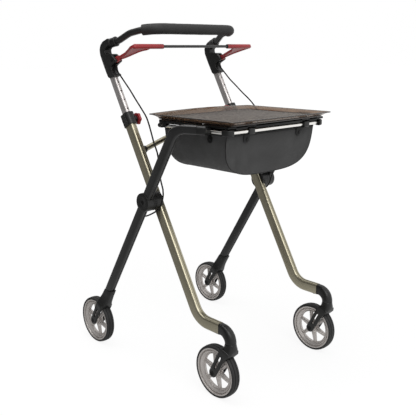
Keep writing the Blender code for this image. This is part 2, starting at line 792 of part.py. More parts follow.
def caster_elbows():
    for side, end in SIDES:
        x = side * TUBE_X
        shoulder_y = FRONT_RUN_END_Y - GAP
        plug_half = (TUBE_WIDTH / 2 - TUBE_WALL - PLUG_GAP, TUBE_DEPTH / 2 - TUBE_WALL - PLUG_GAP)
        shoulder = (ELBOW_HALF_WIDTH, ELBOW_HALF_HEIGHT, ELBOW_SQUARENESS)
        rings = [
            ring((x, FRONT_RUN_END_Y + PLUG_LENGTH, FRONT_RUN_Z), ACROSS, UP, *plug_half, 3),
            ring((x, shoulder_y, FRONT_RUN_Z), ACROSS, UP, *plug_half, 3),
            ring((x, shoulder_y, FRONT_RUN_Z), ACROSS, UP, *shoulder),
        ]
        bend = FRONT_RUN_Z - PARTING_Z - GAP
        for step in range(ELBOW_STEPS + 1):
            share = step / ELBOW_STEPS
            round_share = min(1, 1.3 * share)
            angle = math.pi / 2 * share
            middle_x = x + (side * SWIVEL_X - x) * share
            middle_y = SWIVEL_Y + bend * (1 - math.sin(angle))
            middle_z = FRONT_RUN_Z - bend * (1 - math.cos(angle))
            deep = UP * math.cos(angle) - BACK * math.sin(angle)
            half_width = ELBOW_HALF_WIDTH + (ELBOW_RADIUS - ELBOW_HALF_WIDTH) * round_share
            half_depth = ELBOW_HALF_HEIGHT + (ELBOW_RADIUS - ELBOW_HALF_HEIGHT) * share
            power = ELBOW_SQUARENESS + (2 - ELBOW_SQUARENESS) * round_share
            rings.append(ring((middle_x, middle_y, middle_z), ACROSS, deep, half_width, half_depth, power))
        elbow = finish(loft(rings), f"caster_elbow_{end}", BLACK_PLASTIC)
        foot = (side * SWIVEL_X, SWIVEL_Y, PARTING_Z - 0.01)
        head = (side * SWIVEL_X, SWIVEL_Y, STEM_HOLE_TOP)
        cut(elbow, cylinder(SWIVEL_STEM_RADIUS + GAP, foot, head, 16))


def capsule(start, end, radius, steps=6):
    """An outline of (y, z) points round a slot from start to end."""
    start, end = Vector(start), Vector(end)
    along = (end - start).normalized()
    heading = math.atan2(along.y, along.x)
    points = []
    for middle, first in ((end, heading - math.pi / 2), (start, heading + math.pi / 2)):
        for step in range(steps + 1):
            angle = first + math.pi * step / steps
            points.append((middle.x + radius * math.cos(angle), middle.y + radius * math.sin(angle)))
    return points


def tip_arc(centre, up, back, radius, steps=8):
    """The round end of a fork arm: points from its rear edge round below to its front edge."""
    points = []
    for step in range(steps + 1):
        angle = math.pi * step / steps
        points.append(centre + back * radius * math.cos(angle) - up * radius * math.sin(angle))
    return points


def yz(vector):
    return (vector.y, vector.z)


def wheel_gap(wheel, side):
    """The cutter that leaves room for the tyre between the fork's arms."""
    a = (side * wheel.x - FORK_INNER, wheel.y, wheel.z)
    b = (side * wheel.x + FORK_INNER, wheel.y, wheel.z)
    return cylinder(FORK_CLEAR_RADIUS, a, b, 40)


def axle_bore(wheel, side):
    reach = AXLE_HALF_LENGTH + GAP
    a = (side * wheel.x - reach, wheel.y, wheel.z)
    b = (side * wheel.x + reach, wheel.y, wheel.z)
    return cylinder(AXLE_RADIUS + GAP, a, b, 12)


def caster_forks():
    up = Vector((0, -math.sin(ARM_LEAN), math.cos(ARM_LEAN)))
    back = Vector((0, math.cos(ARM_LEAN), math.sin(ARM_LEAN)))
    for side, end in SIDES:
        wheel = FRONT_WHEEL
        tip = Vector((0, wheel.y, wheel.z))
        outline = [yz(p) for p in tip_arc(tip, up, back, TIP_RADIUS)]
        outline += [
            yz(tip - back * 0.0140 + up * 0.050),
            (-0.3080, 0.1270),
            (-0.3215, 0.1400),
            (-0.3230, 0.1500),
            (-0.2960, 0.1600),
            yz(tip + back * 0.0135 + up * 0.086),
        ]
        arms = plate(outline, side * wheel.x, 2 * FORK_OUTER)
        x = side * SWIVEL_X
        crown = loft(
            [
                ring((x, SWIVEL_Y, PARTING_Z), ACROSS, BACK, ELBOW_RADIUS, ELBOW_RADIUS, 2),
                ring((x, SWIVEL_Y + 0.0005, 0.1640), ACROSS, BACK, 0.0168, 0.0162, 2.3),
                ring((x, SWIVEL_Y + 0.0035, 0.1510), ACROSS, BACK, 0.0200, 0.0180, 3.2),
                ring((x, SWIVEL_Y + 0.0080, 0.1400), ACROSS, BACK, 0.0206, 0.0170, 4),
                ring((x, SWIVEL_Y + 0.0125, 0.1300), ACROSS, BACK, 0.0200, 0.0145, 4),
            ]
        )
        fork = finish(crown, f"caster_fork_{end}", BLACK_PLASTIC)
        join(fork, arms)
        stem_foot = (x, SWIVEL_Y, PARTING_Z - 0.012)
        stem_head = (x, SWIVEL_Y, STEM_HOLE_TOP - 0.0006)
        join(fork, cylinder(SWIVEL_STEM_RADIUS, stem_foot, stem_head, 16))
        slot = plate(capsule(yz(tip + up * 0.022), yz(tip + up * 0.064), 0.0036), side * wheel.x, 0.06)
        cut(fork, wheel_gap(wheel, side), slot, axle_bore(wheel, side))


# Rear forks: sleeves on the legs that widen over the rear wheels
SLEEVE_TOP = 0.1385
SHOE_POCKET_GAP = 0.0006
SHOE_BOTTOM = WHEEL_RADIUS + 0.0035
SHOE_TOP = 0.0945
SHOE_HALF_WIDTH = 0.009
SHOE_HALF_DEPTH = 0.007


def from_rear_wheel(side, up_leg, x_offset=0.0, backward=0.0):
    """A point measured from the rear wheel's centre up the leg."""
    wheel = Vector((side * REAR_WHEEL.x + side * x_offset, REAR_WHEEL.y, REAR_WHEEL.z))
    return wheel + LEG_UP * up_leg + LEG_BACK * backward


def rear_forks():
    clear = 2 * GAP
    leg_offset = LEG_X - REAR_WHEEL.x
    roomy = rounded_rectangle(TUBE_WIDTH + clear, TUBE_DEPTH + clear, TUBE_CORNER + GAP)
    sections = [
        (SLEEVE_TOP, leg_offset, 0.0118, 0.0168, 4.2),
        (0.1080, leg_offset, 0.0118, 0.0168, 4.2),
        (0.0960, 0.0, 0.0160, 0.0180, 4.2),
        (0.0860, 0.0, 0.0205, 0.0190, 4.2),
        (0.0740, 0.0, 0.0205, 0.0180, 4.2),
    ]
    for side, end in SIDES:
        tip = Vector((0, REAR_WHEEL.y, REAR_WHEEL.z))
        outline = [yz(p) for p in tip_arc(tip, LEG_UP, LEG_BACK, TIP_RADIUS)]
        outline += [
            yz(tip - LEG_BACK * 0.0150 + LEG_UP * 0.030),
            yz(tip - LEG_BACK * 0.0190 + LEG_UP * 0.066),
            yz(tip - LEG_BACK * 0.0190 + LEG_UP * 0.090),
            yz(tip + LEG_BACK * 0.0175 + LEG_UP * 0.092),
            yz(tip + LEG_BACK * 0.0165 + LEG_UP * 0.066),
        ]
        arms = plate(outline, side * REAR_WHEEL.x, 2 * FORK_OUTER)
        rings = [
            ring(from_rear_wheel(side, up_leg, offset), ACROSS, LEG_BACK, half_width, half_depth, power)
            for up_leg, offset, half_width, half_depth, power in sections
        ]
        fork = finish(loft(rings), f"rear_fork_{end}", BLACK_PLASTIC)
        join(fork, arms)
        leg_line = [leg_axis(side, LEG_LOW_Z) - LEG_UP * GAP, leg_axis(side, LEG_LOW_Z + 0.2)]
        pocket = shoe_block(side, SHOE_BOTTOM - 0.02, SHOE_TOP + 2 * GAP, SHOE_POCKET_GAP)
        cut(fork, section_tube(leg_line, roomy), wheel_gap(REAR_WHEEL, side), axle_bore(REAR_WHEEL, side))
        cut(fork, pocket)

        shoe = shoe_block(side, SHOE_BOTTOM, SHOE_TOP, 0.0)
        finish(shoe, f"brake_shoe_{end}", BLACK_PLASTIC)


def shoe_block(side, low, high, extra):
    """A block between the fork's arms, square to the leg."""
    block = box(
        (2 * (SHOE_HALF_WIDTH + extra), 2 * (SHOE_HALF_DEPTH + extra), high - low),
        from_rear_wheel(side, (low + high) / 2),
    )
    block.rotation_euler = (LEG_LEAN, 0, 0)
    return block


def wheels():
    tyre_profile = [
        (0.0678, 0.0120),
        (0.0700, 0.0138),
        (0.0728, 0.0128),
        (0.0746, 0.0085),
        (0.0750, 0.0),
        (0.0746, -0.0085),
        (0.0728, -0.0128),
        (0.0700, -0.0138),
        (0.0678, -0.0120),
    ]
    rim_profile = [
        (0.0560, 0.0070),
        (0.0610, RIM_HALF_WIDTH),
        (0.0675, RIM_HALF_WIDTH),
        (0.0675, -RIM_HALF_WIDTH),
        (0.0610, -RIM_HALF_WIDTH),
        (0.0560, -0.0070),
    ]
    for wheel, row in ((FRONT_WHEEL, "front"), (REAR_WHEEL, "rear")):
        for side, end in SIDES:
            place = along_x(side * wheel.x, wheel.y, wheel.z)
            finish(turned(tyre_profile, place, True), f"tyre_{row}_{end}", RUBBER)
            rim = finish(turned(rim_profile, place, True), f"rim_{row}_{end}", RIM_GREY)
            hub_ends = [(side * wheel.x + s * RIM_HALF_WIDTH, wheel.y, wheel.z) for s in (-1, 1)]
            join(rim, cylinder(HUB_RADIUS, *hub_ends, sides=16))
            for spoke in range(SPOKES // 2):
                bar = box((0.009, 0.006, 0.116), (side * wheel.x, wheel.y, wheel.z))
                bar.rotation_euler = (math.pi * spoke / (SPOKES // 2), 0, 0)
                join(rim, bar)
            axle_ends = [(side * wheel.x + s * AXLE_HALF_LENGTH, wheel.y, wheel.z) for s in (-1, 1)]
            cut(rim, cylinder(AXLE_RADIUS + GAP, *axle_ends, sides=12))
            finish(cylinder(AXLE_RADIUS, *axle_ends, sides=12), f"axle_{row}_{end}", STEEL)


# Rails and the pieces that hold them
CORNER_BLOCK = 0.022
CORNER_BLOCK_HEIGHT = 0.0165
RAIL_INSET = 0.006
BRACKET_Y = -0.2385
BRACKET_LENGTH = 0.020
BRACKET_HEIGHT = 0.019
BRACKET_INNER_X = 0.1765
BRACKET_OUTER_X = 0.2110
LEG_CAP_LENGTH = 0.006


def rails():
    reach = CORNER_BLOCK / 2 + 0.01
    front_ends = {side: (side * (SIDE_RAIL_X - RAIL_INSET), FRONT_RAIL_Y, RAIL_Z) for side, _ in SIDES}
    finish(cylinder(RAIL_RADIUS, *front_ends.values(), sides=16), "front_rail", CHROME)
    leg_section = rounded_rectangle(TUBE_WIDTH, TUBE_DEPTH, TUBE_CORNER)
    for side, end in SIDES:
        x = side * SIDE_RAIL_X
        front = (x, FRONT_RAIL_Y + RAIL_INSET + GAP, RAIL_Z)
        rear = (x, SIDE_RAIL_REAR_Y, RAIL_Z)
        finish(cylinder(RAIL_RADIUS, front, rear, sides=16), f"side_rail_{end}", CHROME)

        block = (CORNER_BLOCK, CORNER_BLOCK, CORNER_BLOCK_HEIGHT)
        corner = box(block, (x, FRONT_RAIL_Y, RAIL_Z), bevel=0.004)
        finish(corner, f"rail_corner_{end}", BLACK_PLASTIC)
        inward = (side * (SIDE_RAIL_X - reach), FRONT_RAIL_Y, RAIL_Z)
        cut(corner, cylinder(RAIL_RADIUS + GAP, inward, front_ends[side], sides=16))
        behind = (x, FRONT_RAIL_Y + reach, RAIL_Z)
        hole_end = (x, FRONT_RAIL_Y + RAIL_INSET, RAIL_Z)
        cut(corner, cylinder(RAIL_RADIUS + GAP, behind, hole_end, sides=16))

        leg_end = Vector((side * LEG_STUB_END.x, LEG_STUB_END.y, LEG_STUB_END.z))
        heading = (leg_end - leg_axis(side, LEG_STUB_Z + 0.0015)).normalized()
        cap = section_tube([leg_end + heading * GAP, leg_end + heading * LEG_CAP_LENGTH], leg_section)
        bracket = finish(cap, f"rail_bracket_{end}", BLACK_PLASTIC)
        arm = box(
            (BRACKET_OUTER_X - BRACKET_INNER_X, BRACKET_LENGTH, BRACKET_HEIGHT),
            (side * (BRACKET_OUTER_X + BRACKET_INNER_X) / 2, BRACKET_Y, RAIL_Z + 0.0015),
            bevel=0.003,
        )
        join(bracket, arm)
        bore_ends = [(x, BRACKET_Y - 0.05, RAIL_Z), (x, BRACKET_Y + 0.05, RAIL_Z)]
        cut(bracket, cylinder(RAIL_RADIUS + GAP, *bore_ends, sides=16))


def trough_outline(half_width, low_z, steps=18):
    """The basket's U section: (x, z) points from one top edge down and up to the other."""
    points = []
    for step in range(steps + 1):
        angle = math.pi * (1 + step / steps)
        c, s = math.cos(angle), math.sin(angle)
        x = math.copysign(abs(c) ** (2 / BASKET_SQUARENESS), c) * half_width
        z = BASKET_TOP_Z - abs(s) ** (2 / BASKET_SQUARENESS) * (BASKET_TOP_Z - low_z)
        points.append((x, z))
    return points


def trough(front_y, rear_y, half_width, low_z, top_z, front_taper=0.0, rear_taper=0.0):
    """A solid with the basket's U section between two y values.

    A taper leans that end wall in at its foot.
    """
    rings = []
    outline = trough_outline(half_width, low_z)
    outline = [(outline[0][0], top_z), *outline[1:-1], (outline[-1][0], top_z)]
    for y, taper in ((front_y, front_taper), (rear_y, -rear_taper)):
        drop = BASKET_TOP_Z - BASKET_LOW_Z
        rings.append([Vector((x, y + taper * (BASKET_TOP_Z - z) / drop, z)) for x, z in outline])
    return loft(rings)


def basket():
    wall = BASKET_WALL
    above = BASKET_TOP_Z + 0.03
    outer = (BASKET_HALF_WIDTH, BASKET_LOW_Z, BASKET_TOP_Z)
    inner = (BASKET_HALF_WIDTH - wall, BASKET_LOW_Z + wall, above)
    lean = {"front_taper": BASKET_TAPER}
    front = finish(trough(BASKET_FRONT_Y, BASKET_SOFT_Y, *outer, **lean), "basket", FABRIC)
    cut(front, trough(BASKET_FRONT_Y + wall, BASKET_SOFT_Y + 0.05, *inner, **lean))
    lean = {"rear_taper": BASKET_TAPER}
    rear = finish(trough(BASKET_SOFT_Y + GAP, BASKET_REAR_Y, *outer, **lean), "basket_rear", FABRIC)
    cut(rear, trough(BASKET_SOFT_Y - 0.05, BASKET_REAR_Y - wall, *inner, **lean))
    for side, end in SIDES:
        x = side * BASKET_CLIP_X
        hook = box(BASKET_CLIP_SIZE, (x, FRONT_RAIL_Y, RAIL_Z), bevel=0.002)
        finish(hook, f"basket_clip_{end}", BLACK_PLASTIC)
        a = (x - BASKET_CLIP_SIZE[0], FRONT_RAIL_Y, RAIL_Z)
        b = (x + BASKET_CLIP_SIZE[0], FRONT_RAIL_Y, RAIL_Z)
        cut(hook, cylinder(RAIL_RADIUS + GAP, a, b, sides=16))


MAT_HALF_WIDTH = 0.176
MAT_CORNER = 0.016
MAT_THICKNESS = 0.002
MAT_MARGIN = 0.006
TRAY_BASE_HALF_WIDTH = 0.182
TRAY_BASE_FRONT_Y = -0.288
TRAY_BASE_REAR_Y = 0.010
TRAY_LIP = 0.006
CLIP_YS = (-0.030, -0.118)
CLIP_SIZE = (0.0165, 0.0140, 0.0220)
CLIP_X = 0.18572
CLIP_CHANNEL = (0.0108, 0.0300, 0.0200)
FOOT_X = 0.140
FOOT_SIZE = (0.030, 0.010)


def tray_ring(half_width, front_y, rear_y, corner, z):
    outline = rounded_rectangle(2 * half_width, rear_y - front_y, corner, steps=4)
    middle = (front_y + rear_y) / 2
    return [Vector((x, middle + y, z)) for x, y in outline]


def tray_outer(inset, z):
    """The tray's outer edge, pulled in by inset."""
    front = TRAY_FRONT_Y + inset
    rear = TRAY_REAR_Y - inset
    return tray_ring(TRAY_HALF_WIDTH - inset, front, rear, TRAY_CORNER, z)


def tray():
    wall = TRAY_WALL
    front, rear = TRAY_BASE_FRONT_Y, TRAY_BASE_REAR_Y
    lip = (TRAY_HALF_WIDTH - TRAY_LIP, TRAY_FRONT_Y + TRAY_LIP, TRAY_REAR_Y - TRAY_LIP, 0.010)
    rings = [
        tray_ring(TRAY_BASE_HALF_WIDTH, front, rear, 0.020, TRAY_BASE_Z),
        tray_outer(0.001, TRAY_RIM_Z - 0.003),
        tray_outer(0.0, TRAY_RIM_Z - 0.001),
        tray_outer(0.001, TRAY_RIM_Z),
        tray_ring(*lip, TRAY_RIM_Z - 0.001),
        tray_ring(TRAY_BASE_HALF_WIDTH - 0.003, front + 0.003, rear - 0.003, 0.018, TRAY_BASE_Z + wall),
    ]
    made = finish(loft(rings), "tray", SMOKED)
    foot_low = RAIL_Z + RAIL_RADIUS + GAP
    foot_high = TRAY_BASE_Z + 0.001
    for side, _ in SIDES:
        for y in CLIP_YS:
            join(made, box(CLIP_SIZE, (side * CLIP_X, y, TRAY_BASE_Z - 0.0095)))
            cut(made, box(CLIP_CHANNEL, (side * SIDE_RAIL_X, y, RAIL_Z - 0.0045)))
        foot_middle = (side * FOOT_X, FRONT_RAIL_Y, (foot_high + foot_low) / 2)
        join(made, box((*FOOT_SIZE, foot_high - foot_low), foot_middle))

    mat_z = TRAY_BASE_Z + wall + GAP
    mat_outline = (MAT_HALF_WIDTH, front + MAT_MARGIN, rear - MAT_MARGIN, MAT_CORNER)
    mat = loft([tray_ring(*mat_outline, mat_z), tray_ring(*mat_outline, mat_z + MAT_THICKNESS)])
    finish(mat, "tray_mat", MAT)


def main():
    clear_scene()
    side_tubes()
    crossbar()
    collars_and_knobs()
    handle()
    brake_bar()
    cables()
    hubs()
    rear_legs()
    caster_elbows()
    caster_forks()
    rear_forks()
    wheels()
    rails()
    basket()
    tray()


main()
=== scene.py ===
# %% [markdown]
# # An indoor rollator, dressed
#
# A rollator is a walking frame on wheels. Two side frames cross like scissors at a hub on each
# side, a telescopic handle stands on the light metal tubes, and the black legs carry a tray and a
# fabric basket. The solid model holds every part at its true size and place. This scene keeps
# those places and models what the eye sees: grooves, ribs, seams, cloth and finishes.
#
# Everything is in metres. The floor is z = 0, the front is -Y, and the user's left side is +X.

# %% Load the solid model
import math

import bpy
from mathutils import Matrix, Vector, noise


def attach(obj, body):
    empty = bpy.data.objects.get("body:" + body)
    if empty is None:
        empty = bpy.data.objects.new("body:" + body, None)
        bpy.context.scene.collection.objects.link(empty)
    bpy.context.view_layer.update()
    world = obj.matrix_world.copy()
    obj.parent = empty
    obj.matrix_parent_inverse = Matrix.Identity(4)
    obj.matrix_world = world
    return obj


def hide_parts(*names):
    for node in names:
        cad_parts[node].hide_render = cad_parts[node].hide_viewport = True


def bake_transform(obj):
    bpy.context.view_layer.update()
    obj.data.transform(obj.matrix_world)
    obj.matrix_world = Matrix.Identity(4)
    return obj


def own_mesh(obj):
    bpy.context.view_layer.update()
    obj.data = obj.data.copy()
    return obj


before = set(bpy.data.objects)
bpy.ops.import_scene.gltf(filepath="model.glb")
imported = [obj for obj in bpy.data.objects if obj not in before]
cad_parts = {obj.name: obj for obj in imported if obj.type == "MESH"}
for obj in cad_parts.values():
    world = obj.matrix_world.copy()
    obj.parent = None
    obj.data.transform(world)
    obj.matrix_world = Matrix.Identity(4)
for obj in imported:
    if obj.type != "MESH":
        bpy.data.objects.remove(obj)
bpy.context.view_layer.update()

# %% [markdown]
# ## The camera
#
# The four wheels are true circles of one size, so the ellipses that they make in the photograph
# give the camera's place and lens. It stands about two metres away at handle height and looks
# fourteen degrees down. A matrix of three turns is easier to read than three Euler angles: turn
# about the vertical, tip forward, then a slight roll.

# %% Camera
turn = Matrix.Rotation(math.radians(-42.75), 3, "Z")
tip = Matrix.Rotation(math.radians(90 - 13.89), 3, "X")
roll = Matrix.Rotation(math.radians(-0.39), 3, "Z")
bpy.ops.object.camera_add(
    location=(-1.3026, -1.4091, 0.9259), rotation=(turn @ tip @ roll).to_euler()
)
camera = bpy.context.active_object
camera.name = "camera"
camera.data.lens = 55.02
camera.data.sensor_width = 36.0
camera.data.clip_start = 0.01
bpy.context.scene.camera = camera
bpy.context.scene.view_settings.view_transform = "Standard"
print("camera at", [round(value, 3) for value in camera.location])

# %% [markdown]
# ## Nodes and colours
#
# Every finish here is a small net of shader nodes. One function adds a node, sets its settings and
# fills or links its inputs. A few short ones make the nodes that nearly every finish has, so that
# a material reads as a list of what it is made of. Blender works in linear light, so a function
# turns an ordinary hex colour into linear numbers.

# %% Helpers for materials
MIX_FACTOR, MIX_A, MIX_B, MIX_COLOR = 0, 6, 7, 2  # colour sockets of a Mix node
WHITE = (1, 1, 1, 1)


def linear(hex_color):
    """An sRGB colour such as #b9b39b as linear red, green, blue and alpha."""
    channels = [int(hex_color[i : i + 2], 16) / 255 for i in (1, 3, 5)]
    straight = [c / 12.92 if c <= 0.04045 else ((c + 0.055) / 1.055) ** 2.4 for c in channels]
    return (*straight, 1.0)


def add_node(tree, kind, inputs=(), **settings):
    """Add a node. An input is a value, or a node or (node, output) to link from."""
    node = tree.nodes.new("ShaderNode" + kind)
    for name, value in settings.items():
        setattr(node, name, value)
    for name, value in dict(inputs).items():
        source = value if isinstance(value, tuple) else (value, 0)
        if isinstance(source[0], bpy.types.Node):
            tree.links.new(source[0].outputs[source[1]], node.inputs[name])
        else:
            node.inputs[name].default_value = value
    return node


def add_math(tree, operation, *inputs):
    """Arithmetic on the inputs, in their order."""
    return add_node(tree, "Math", enumerate(inputs), operation=operation)


def add_noise(tree, place, scale, detail=2.0):
    """Cloudy noise."""
    return add_node(tree, "TexNoise", {"Vector": place, "Scale": scale, "Detail": detail})


def ranged(tree, value, low, high, start=0.0, end=1.0):
    """A value that runs from start to end, spread so that it runs from low to high."""
    ends = {"From Min": start, "From Max": end, "To Min": low, "To Max": high}
    return add_node(tree, "MapRange", {"Value": value, **ends})


def tinted(tree, share, low_color, high_color):
    """A colour between two others."""
    inputs = {MIX_FACTOR: share, MIX_A: linear(low_color), MIX_B: linear(high_color)}
    return add_node(tree, "Mix", inputs, data_type="RGBA"), MIX_COLOR


def bumped(tree, height, strength, distance):
    """A relief that only the light sees."""
    return add_node(tree, "Bump", {"Height": height, "Strength": strength, "Distance": distance})


def object_place(tree):
    """Where a point is on its object."""
    return add_node(tree, "TexCoord"), "Object"


def empty_material(name):
    """A new material and its node tree, with nothing in it."""
    made = bpy.data.materials.new(name)
    made.use_nodes = True
    made.node_tree.nodes.clear()
    return made, made.node_tree


def surface(tree, color, roughness, relief, more):
    """Give the material a Principled surface."""
    inputs = {"Base Color": color, "Roughness": roughness, "Normal": relief, **more}
    add_node(tree, "OutputMaterial", {"Surface": add_node(tree, "BsdfPrincipled", inputs)})


print("white is", linear("#ffffff"))

# %% [markdown]
# ## Light, floor and background
#
# A product photograph on white has a bright surround and soft lamps. The world is white for the
# camera and through clear plastic. For reflections and for the light that it gives, it is bright
# in front on the right and dimmer at the back on the left, as in a studio with one lit wall, so
# that a tube shows a light front and a darker side. One large lamp stands high in front and one
# hangs overhead. The floor shows as white but keeps part of its own shading, which is the soft
# shadow under the wheels. Further out that shading fades, so the paper runs on into the white.
# In mirrors the paper is bright in front on the right and dims toward the back on the left, as
# the room does.

# %% World and lamps
world = bpy.data.worlds.new("white studio")
bpy.context.scene.world = world
world.use_nodes = True
world.node_tree.nodes.clear()
tree = world.node_tree
rays = add_node(tree, "LightPath")
seen = add_math(tree, "MAXIMUM", (rays, "Is Camera Ray"), (rays, "Is Transmission Ray"))
heading = (add_node(tree, "TexCoord"), "Generated")
lit_side = (0.68, -0.55, 0.48)
toward_wall = add_node(tree, "VectorMath", {0: heading, 1: lit_side}, operation="DOT_PRODUCT")
wall = ranged(tree, (toward_wall, "Value"), 0.10, 1.0, start=-0.8, end=0.75)
weaker = ranged(tree, (rays, "Is Glossy Ray"), 0.62, 1.0)
given = add_math(tree, "MULTIPLY", wall, weaker)
plain = add_node(tree, "Background", {"Color": WHITE, "Strength": 1.0})
room = add_node(tree, "Background", {"Color": WHITE, "Strength": given})
either = add_node(tree, "MixShader", {0: seen, 1: room, 2: plain})
add_node(tree, "OutputWorld", {"Surface": either})


def soft_lamp(name, place, target, size, power):
    """A square lamp that faces a point."""
    heading = (Vector(target) - Vector(place)).to_track_quat("-Z", "Y").to_euler()
    bpy.ops.object.light_add(type="AREA", location=place, rotation=heading)
    lamp = bpy.context.active_object
    lamp.name = name
    lamp.data.size = size
    lamp.data.energy = power


soft_lamp("key_lamp", (-0.85, -2.4, 2.7), (0, 0, 0.5), 2.2, 46)
soft_lamp("top_lamp", (-0.5, 0.2, 2.9), (0, 0, 0.6), 1.6, 30)

# %% Floor
floor_look, tree = empty_material("white_paper_floor")
rays = add_node(tree, "LightPath")
place = object_place(tree)
away = add_node(tree, "VectorMath", {0: place}, operation="LENGTH")
far = ranged(tree, (away, "Value"), 0.86, 1.0, start=0.7, end=2.2)
viewed = add_math(tree, "MULTIPLY", (rays, "Is Camera Ray"), far)
share = add_math(tree, "MAXIMUM", viewed, (rays, "Is Glossy Ray"))
behind = add_node(tree, "VectorMath", {0: place, 1: (-0.7, 0.7, 0.0)}, operation="DOT_PRODUCT")
dimmer = ranged(tree, (behind, "Value"), 1.0, 0.3, start=-1.0, end=1.0)
mirrored_too = add_math(tree, "MULTIPLY", (rays, "Is Glossy Ray"), dimmer)
power = add_math(tree, "MULTIPLY_ADD", (rays, "Is Camera Ray"), 1.04, mirrored_too)
paper = add_node(tree, "BsdfDiffuse", {"Color": linear("#f2f2f2")})
glow = add_node(tree, "Emission", {"Color": WHITE, "Strength": power})
either = add_node(tree, "MixShader", {0: share, 1: paper, 2: glow})
add_node(tree, "OutputMaterial", {"Surface": either})
bpy.ops.object.select_all(action="DESELECT")
bpy.ops.mesh.primitive_plane_add(size=60.0, location=(0, 0, -0.0004))
floor = bpy.context.active_object
floor.name = "floor"
floor.data.materials.append(floor_look)
bpy.ops.object.transform_apply()
print("floor made of", floor_look.name)

# %% [markdown]
# ## Metals
#
# The side tubes are extruded aluminium, drawn through a die, so fine lines run along them. They
# are satin anodised in a warm champagne tint, and the telescopic tubes in plain silver. Drawn
# lines are under 0.1 mm, too fine to show, so they are drawn about 1 mm apart and long. A Mapping
# node of the Texture kind first turns the pattern to the tubes' lean of 29.5 degrees and then
# stretches it along them.

# %% Anodised aluminium
TUBE_LEAN = math.radians(29.47)


def anodised(name, low_color, high_color, roughness):
    """Satin anodised aluminium with drawn lines along the side tubes."""
    made, tree = empty_material(name)
    place = object_place(tree)
    stretch = {"Vector": place, "Rotation": (-TUBE_LEAN, 0, 0), "Scale": (0.001, 0.001, 0.12)}
    along = add_node(tree, "Mapping", stretch, vector_type="TEXTURE")
    lines = add_noise(tree, along, 1.0, 3.0)
    clouds = add_noise(tree, place, 14.0)
    both = add_math(tree, "MULTIPLY", lines, clouds)
    tint = tinted(tree, ranged(tree, both, 0.0, 1.0, start=0.12, end=0.38), low_color, high_color)
    rough = ranged(tree, lines, roughness - 0.02, roughness + 0.02)
    surface(tree, tint, rough, bumped(tree, lines, 0.012, 0.00005), {"Metallic": 0.95})
    return made


champagne = anodised("champagne_anodised_aluminium", "#a49e89", "#aea893", 0.30)
silver = anodised("silver_anodised_aluminium", "#cbc6c4", "#d7d3d1", 0.42)
print("made", champagne.name, "and", silver.name)

# %% [markdown]
# The rails under the tray are chromed steel, which mirrors the white room and the black parts
# round it. The wheel axles are zinc plated steel, greyer and duller, and the bolts and screws are
# blackened. All are metals of one colour whose life is in their roughness: fine clouds of wear, a
# few centimetres across.


# %% Chrome, zinc and blackened steel
def plated(name, color, smooth, dull):
    """Plated steel whose polish varies in clouds."""
    made, tree = empty_material(name)
    clouds = add_noise(tree, object_place(tree), 60.0, 6.0)
    relief = bumped(tree, clouds, 0.05, 0.0003)
    surface(tree, linear(color), ranged(tree, clouds, smooth, dull), relief, {"Metallic": 1.0})
    return made


chrome = plated("chromed_steel", "#edebe7", 0.08, 0.18)
zinc = plated("zinc_plated_steel", "#a3a3a2", 0.25, 0.42)
black_steel = plated("blackened_steel", "#2b2b2b", 0.28, 0.42)
print("made", chrome.name, zinc.name, "and", black_steel.name)

# %% [markdown]
# ## Plastics, rubber and paint
#
# The fittings are moulded plastic, and a mould is spark eroded to a fine grain that hides marks.
# The grain is about 0.3 mm, drawn here at 1 mm so that it just shows. The same net, with other
# colours, roughness and grain, also makes the powder coat with its orange peel, the soft tyre
# and the red plastic, because all of them are a coloured body with a fine surface.


# %% Moulded and coated surfaces
def moulded(name, color, worn_color, roughness, grain_mm, depth, coat=0.0, shine=0.4):
    """A coloured body with a fine grain, and colour that drifts a little."""
    made, tree = empty_material(name)
    place = object_place(tree)
    grain = add_noise(tree, place, 1000.0 / grain_mm)
    tint = tinted(tree, add_noise(tree, place, 25.0, 4.0), color, worn_color)
    rough = ranged(tree, grain, roughness - 0.07, roughness + 0.07)
    gloss = {"IOR": 1.5, "Specular IOR Level": shine, "Coat Weight": coat, "Coat Roughness": 0.15}
    surface(tree, tint, rough, bumped(tree, grain, 0.25, depth), gloss)
    return made


black_plastic = moulded("black_nylon_moulded", "#131313", "#1b1b1a", 0.36, 1.0, 0.0002)
powder_coat = moulded("black_powder_coat", "#151515", "#1b1b1b", 0.30, 2.5, 0.0002, coat=0.3, shine=0.45)
red_plastic = moulded("red_polyamide_moulded", "#8a2428", "#9e2f32", 0.36, 1.2, 0.0002, coat=0.1)
tyre_rubber = moulded("black_soft_polyurethane", "#1b1b1b", "#262626", 0.58, 1.5, 0.0004)
cable_sheath = moulded("black_pvc_sheath", "#0b0b0b", "#121212", 0.40, 1.5, 0.0002, shine=0.25)
foam = moulded("black_closed_cell_foam", "#1e1e1e", "#2a2a2a", 0.66, 1.6, 0.0006)
print("moulded and coated:", black_plastic.name, powder_coat.name, red_plastic.name)

# %% [markdown]
# The rims are polypropylene with aluminium flakes mixed in, which gives a soft silver lustre.
# About half of the metallic weight of a real metal is enough, and flakes are drawn as a fine
# noise.

# %% Silver rims
rim_plastic, tree = empty_material("silver_flake_polypropylene")
place = object_place(tree)
flakes = add_noise(tree, place, 900.0)
flow = add_noise(tree, place, 22.0, 3.0)
both = add_math(tree, "MULTIPLY", flakes, flow)
tint = tinted(tree, ranged(tree, both, 0.0, 1.0, start=0.05, end=0.45), "#bcb6b2", "#c9c4c0")
relief = bumped(tree, flakes, 0.01, 0.0001)
surface(tree, tint, ranged(tree, flow, 0.32, 0.40), relief, {"Metallic": 0.55})
print("made", rim_plastic.name)
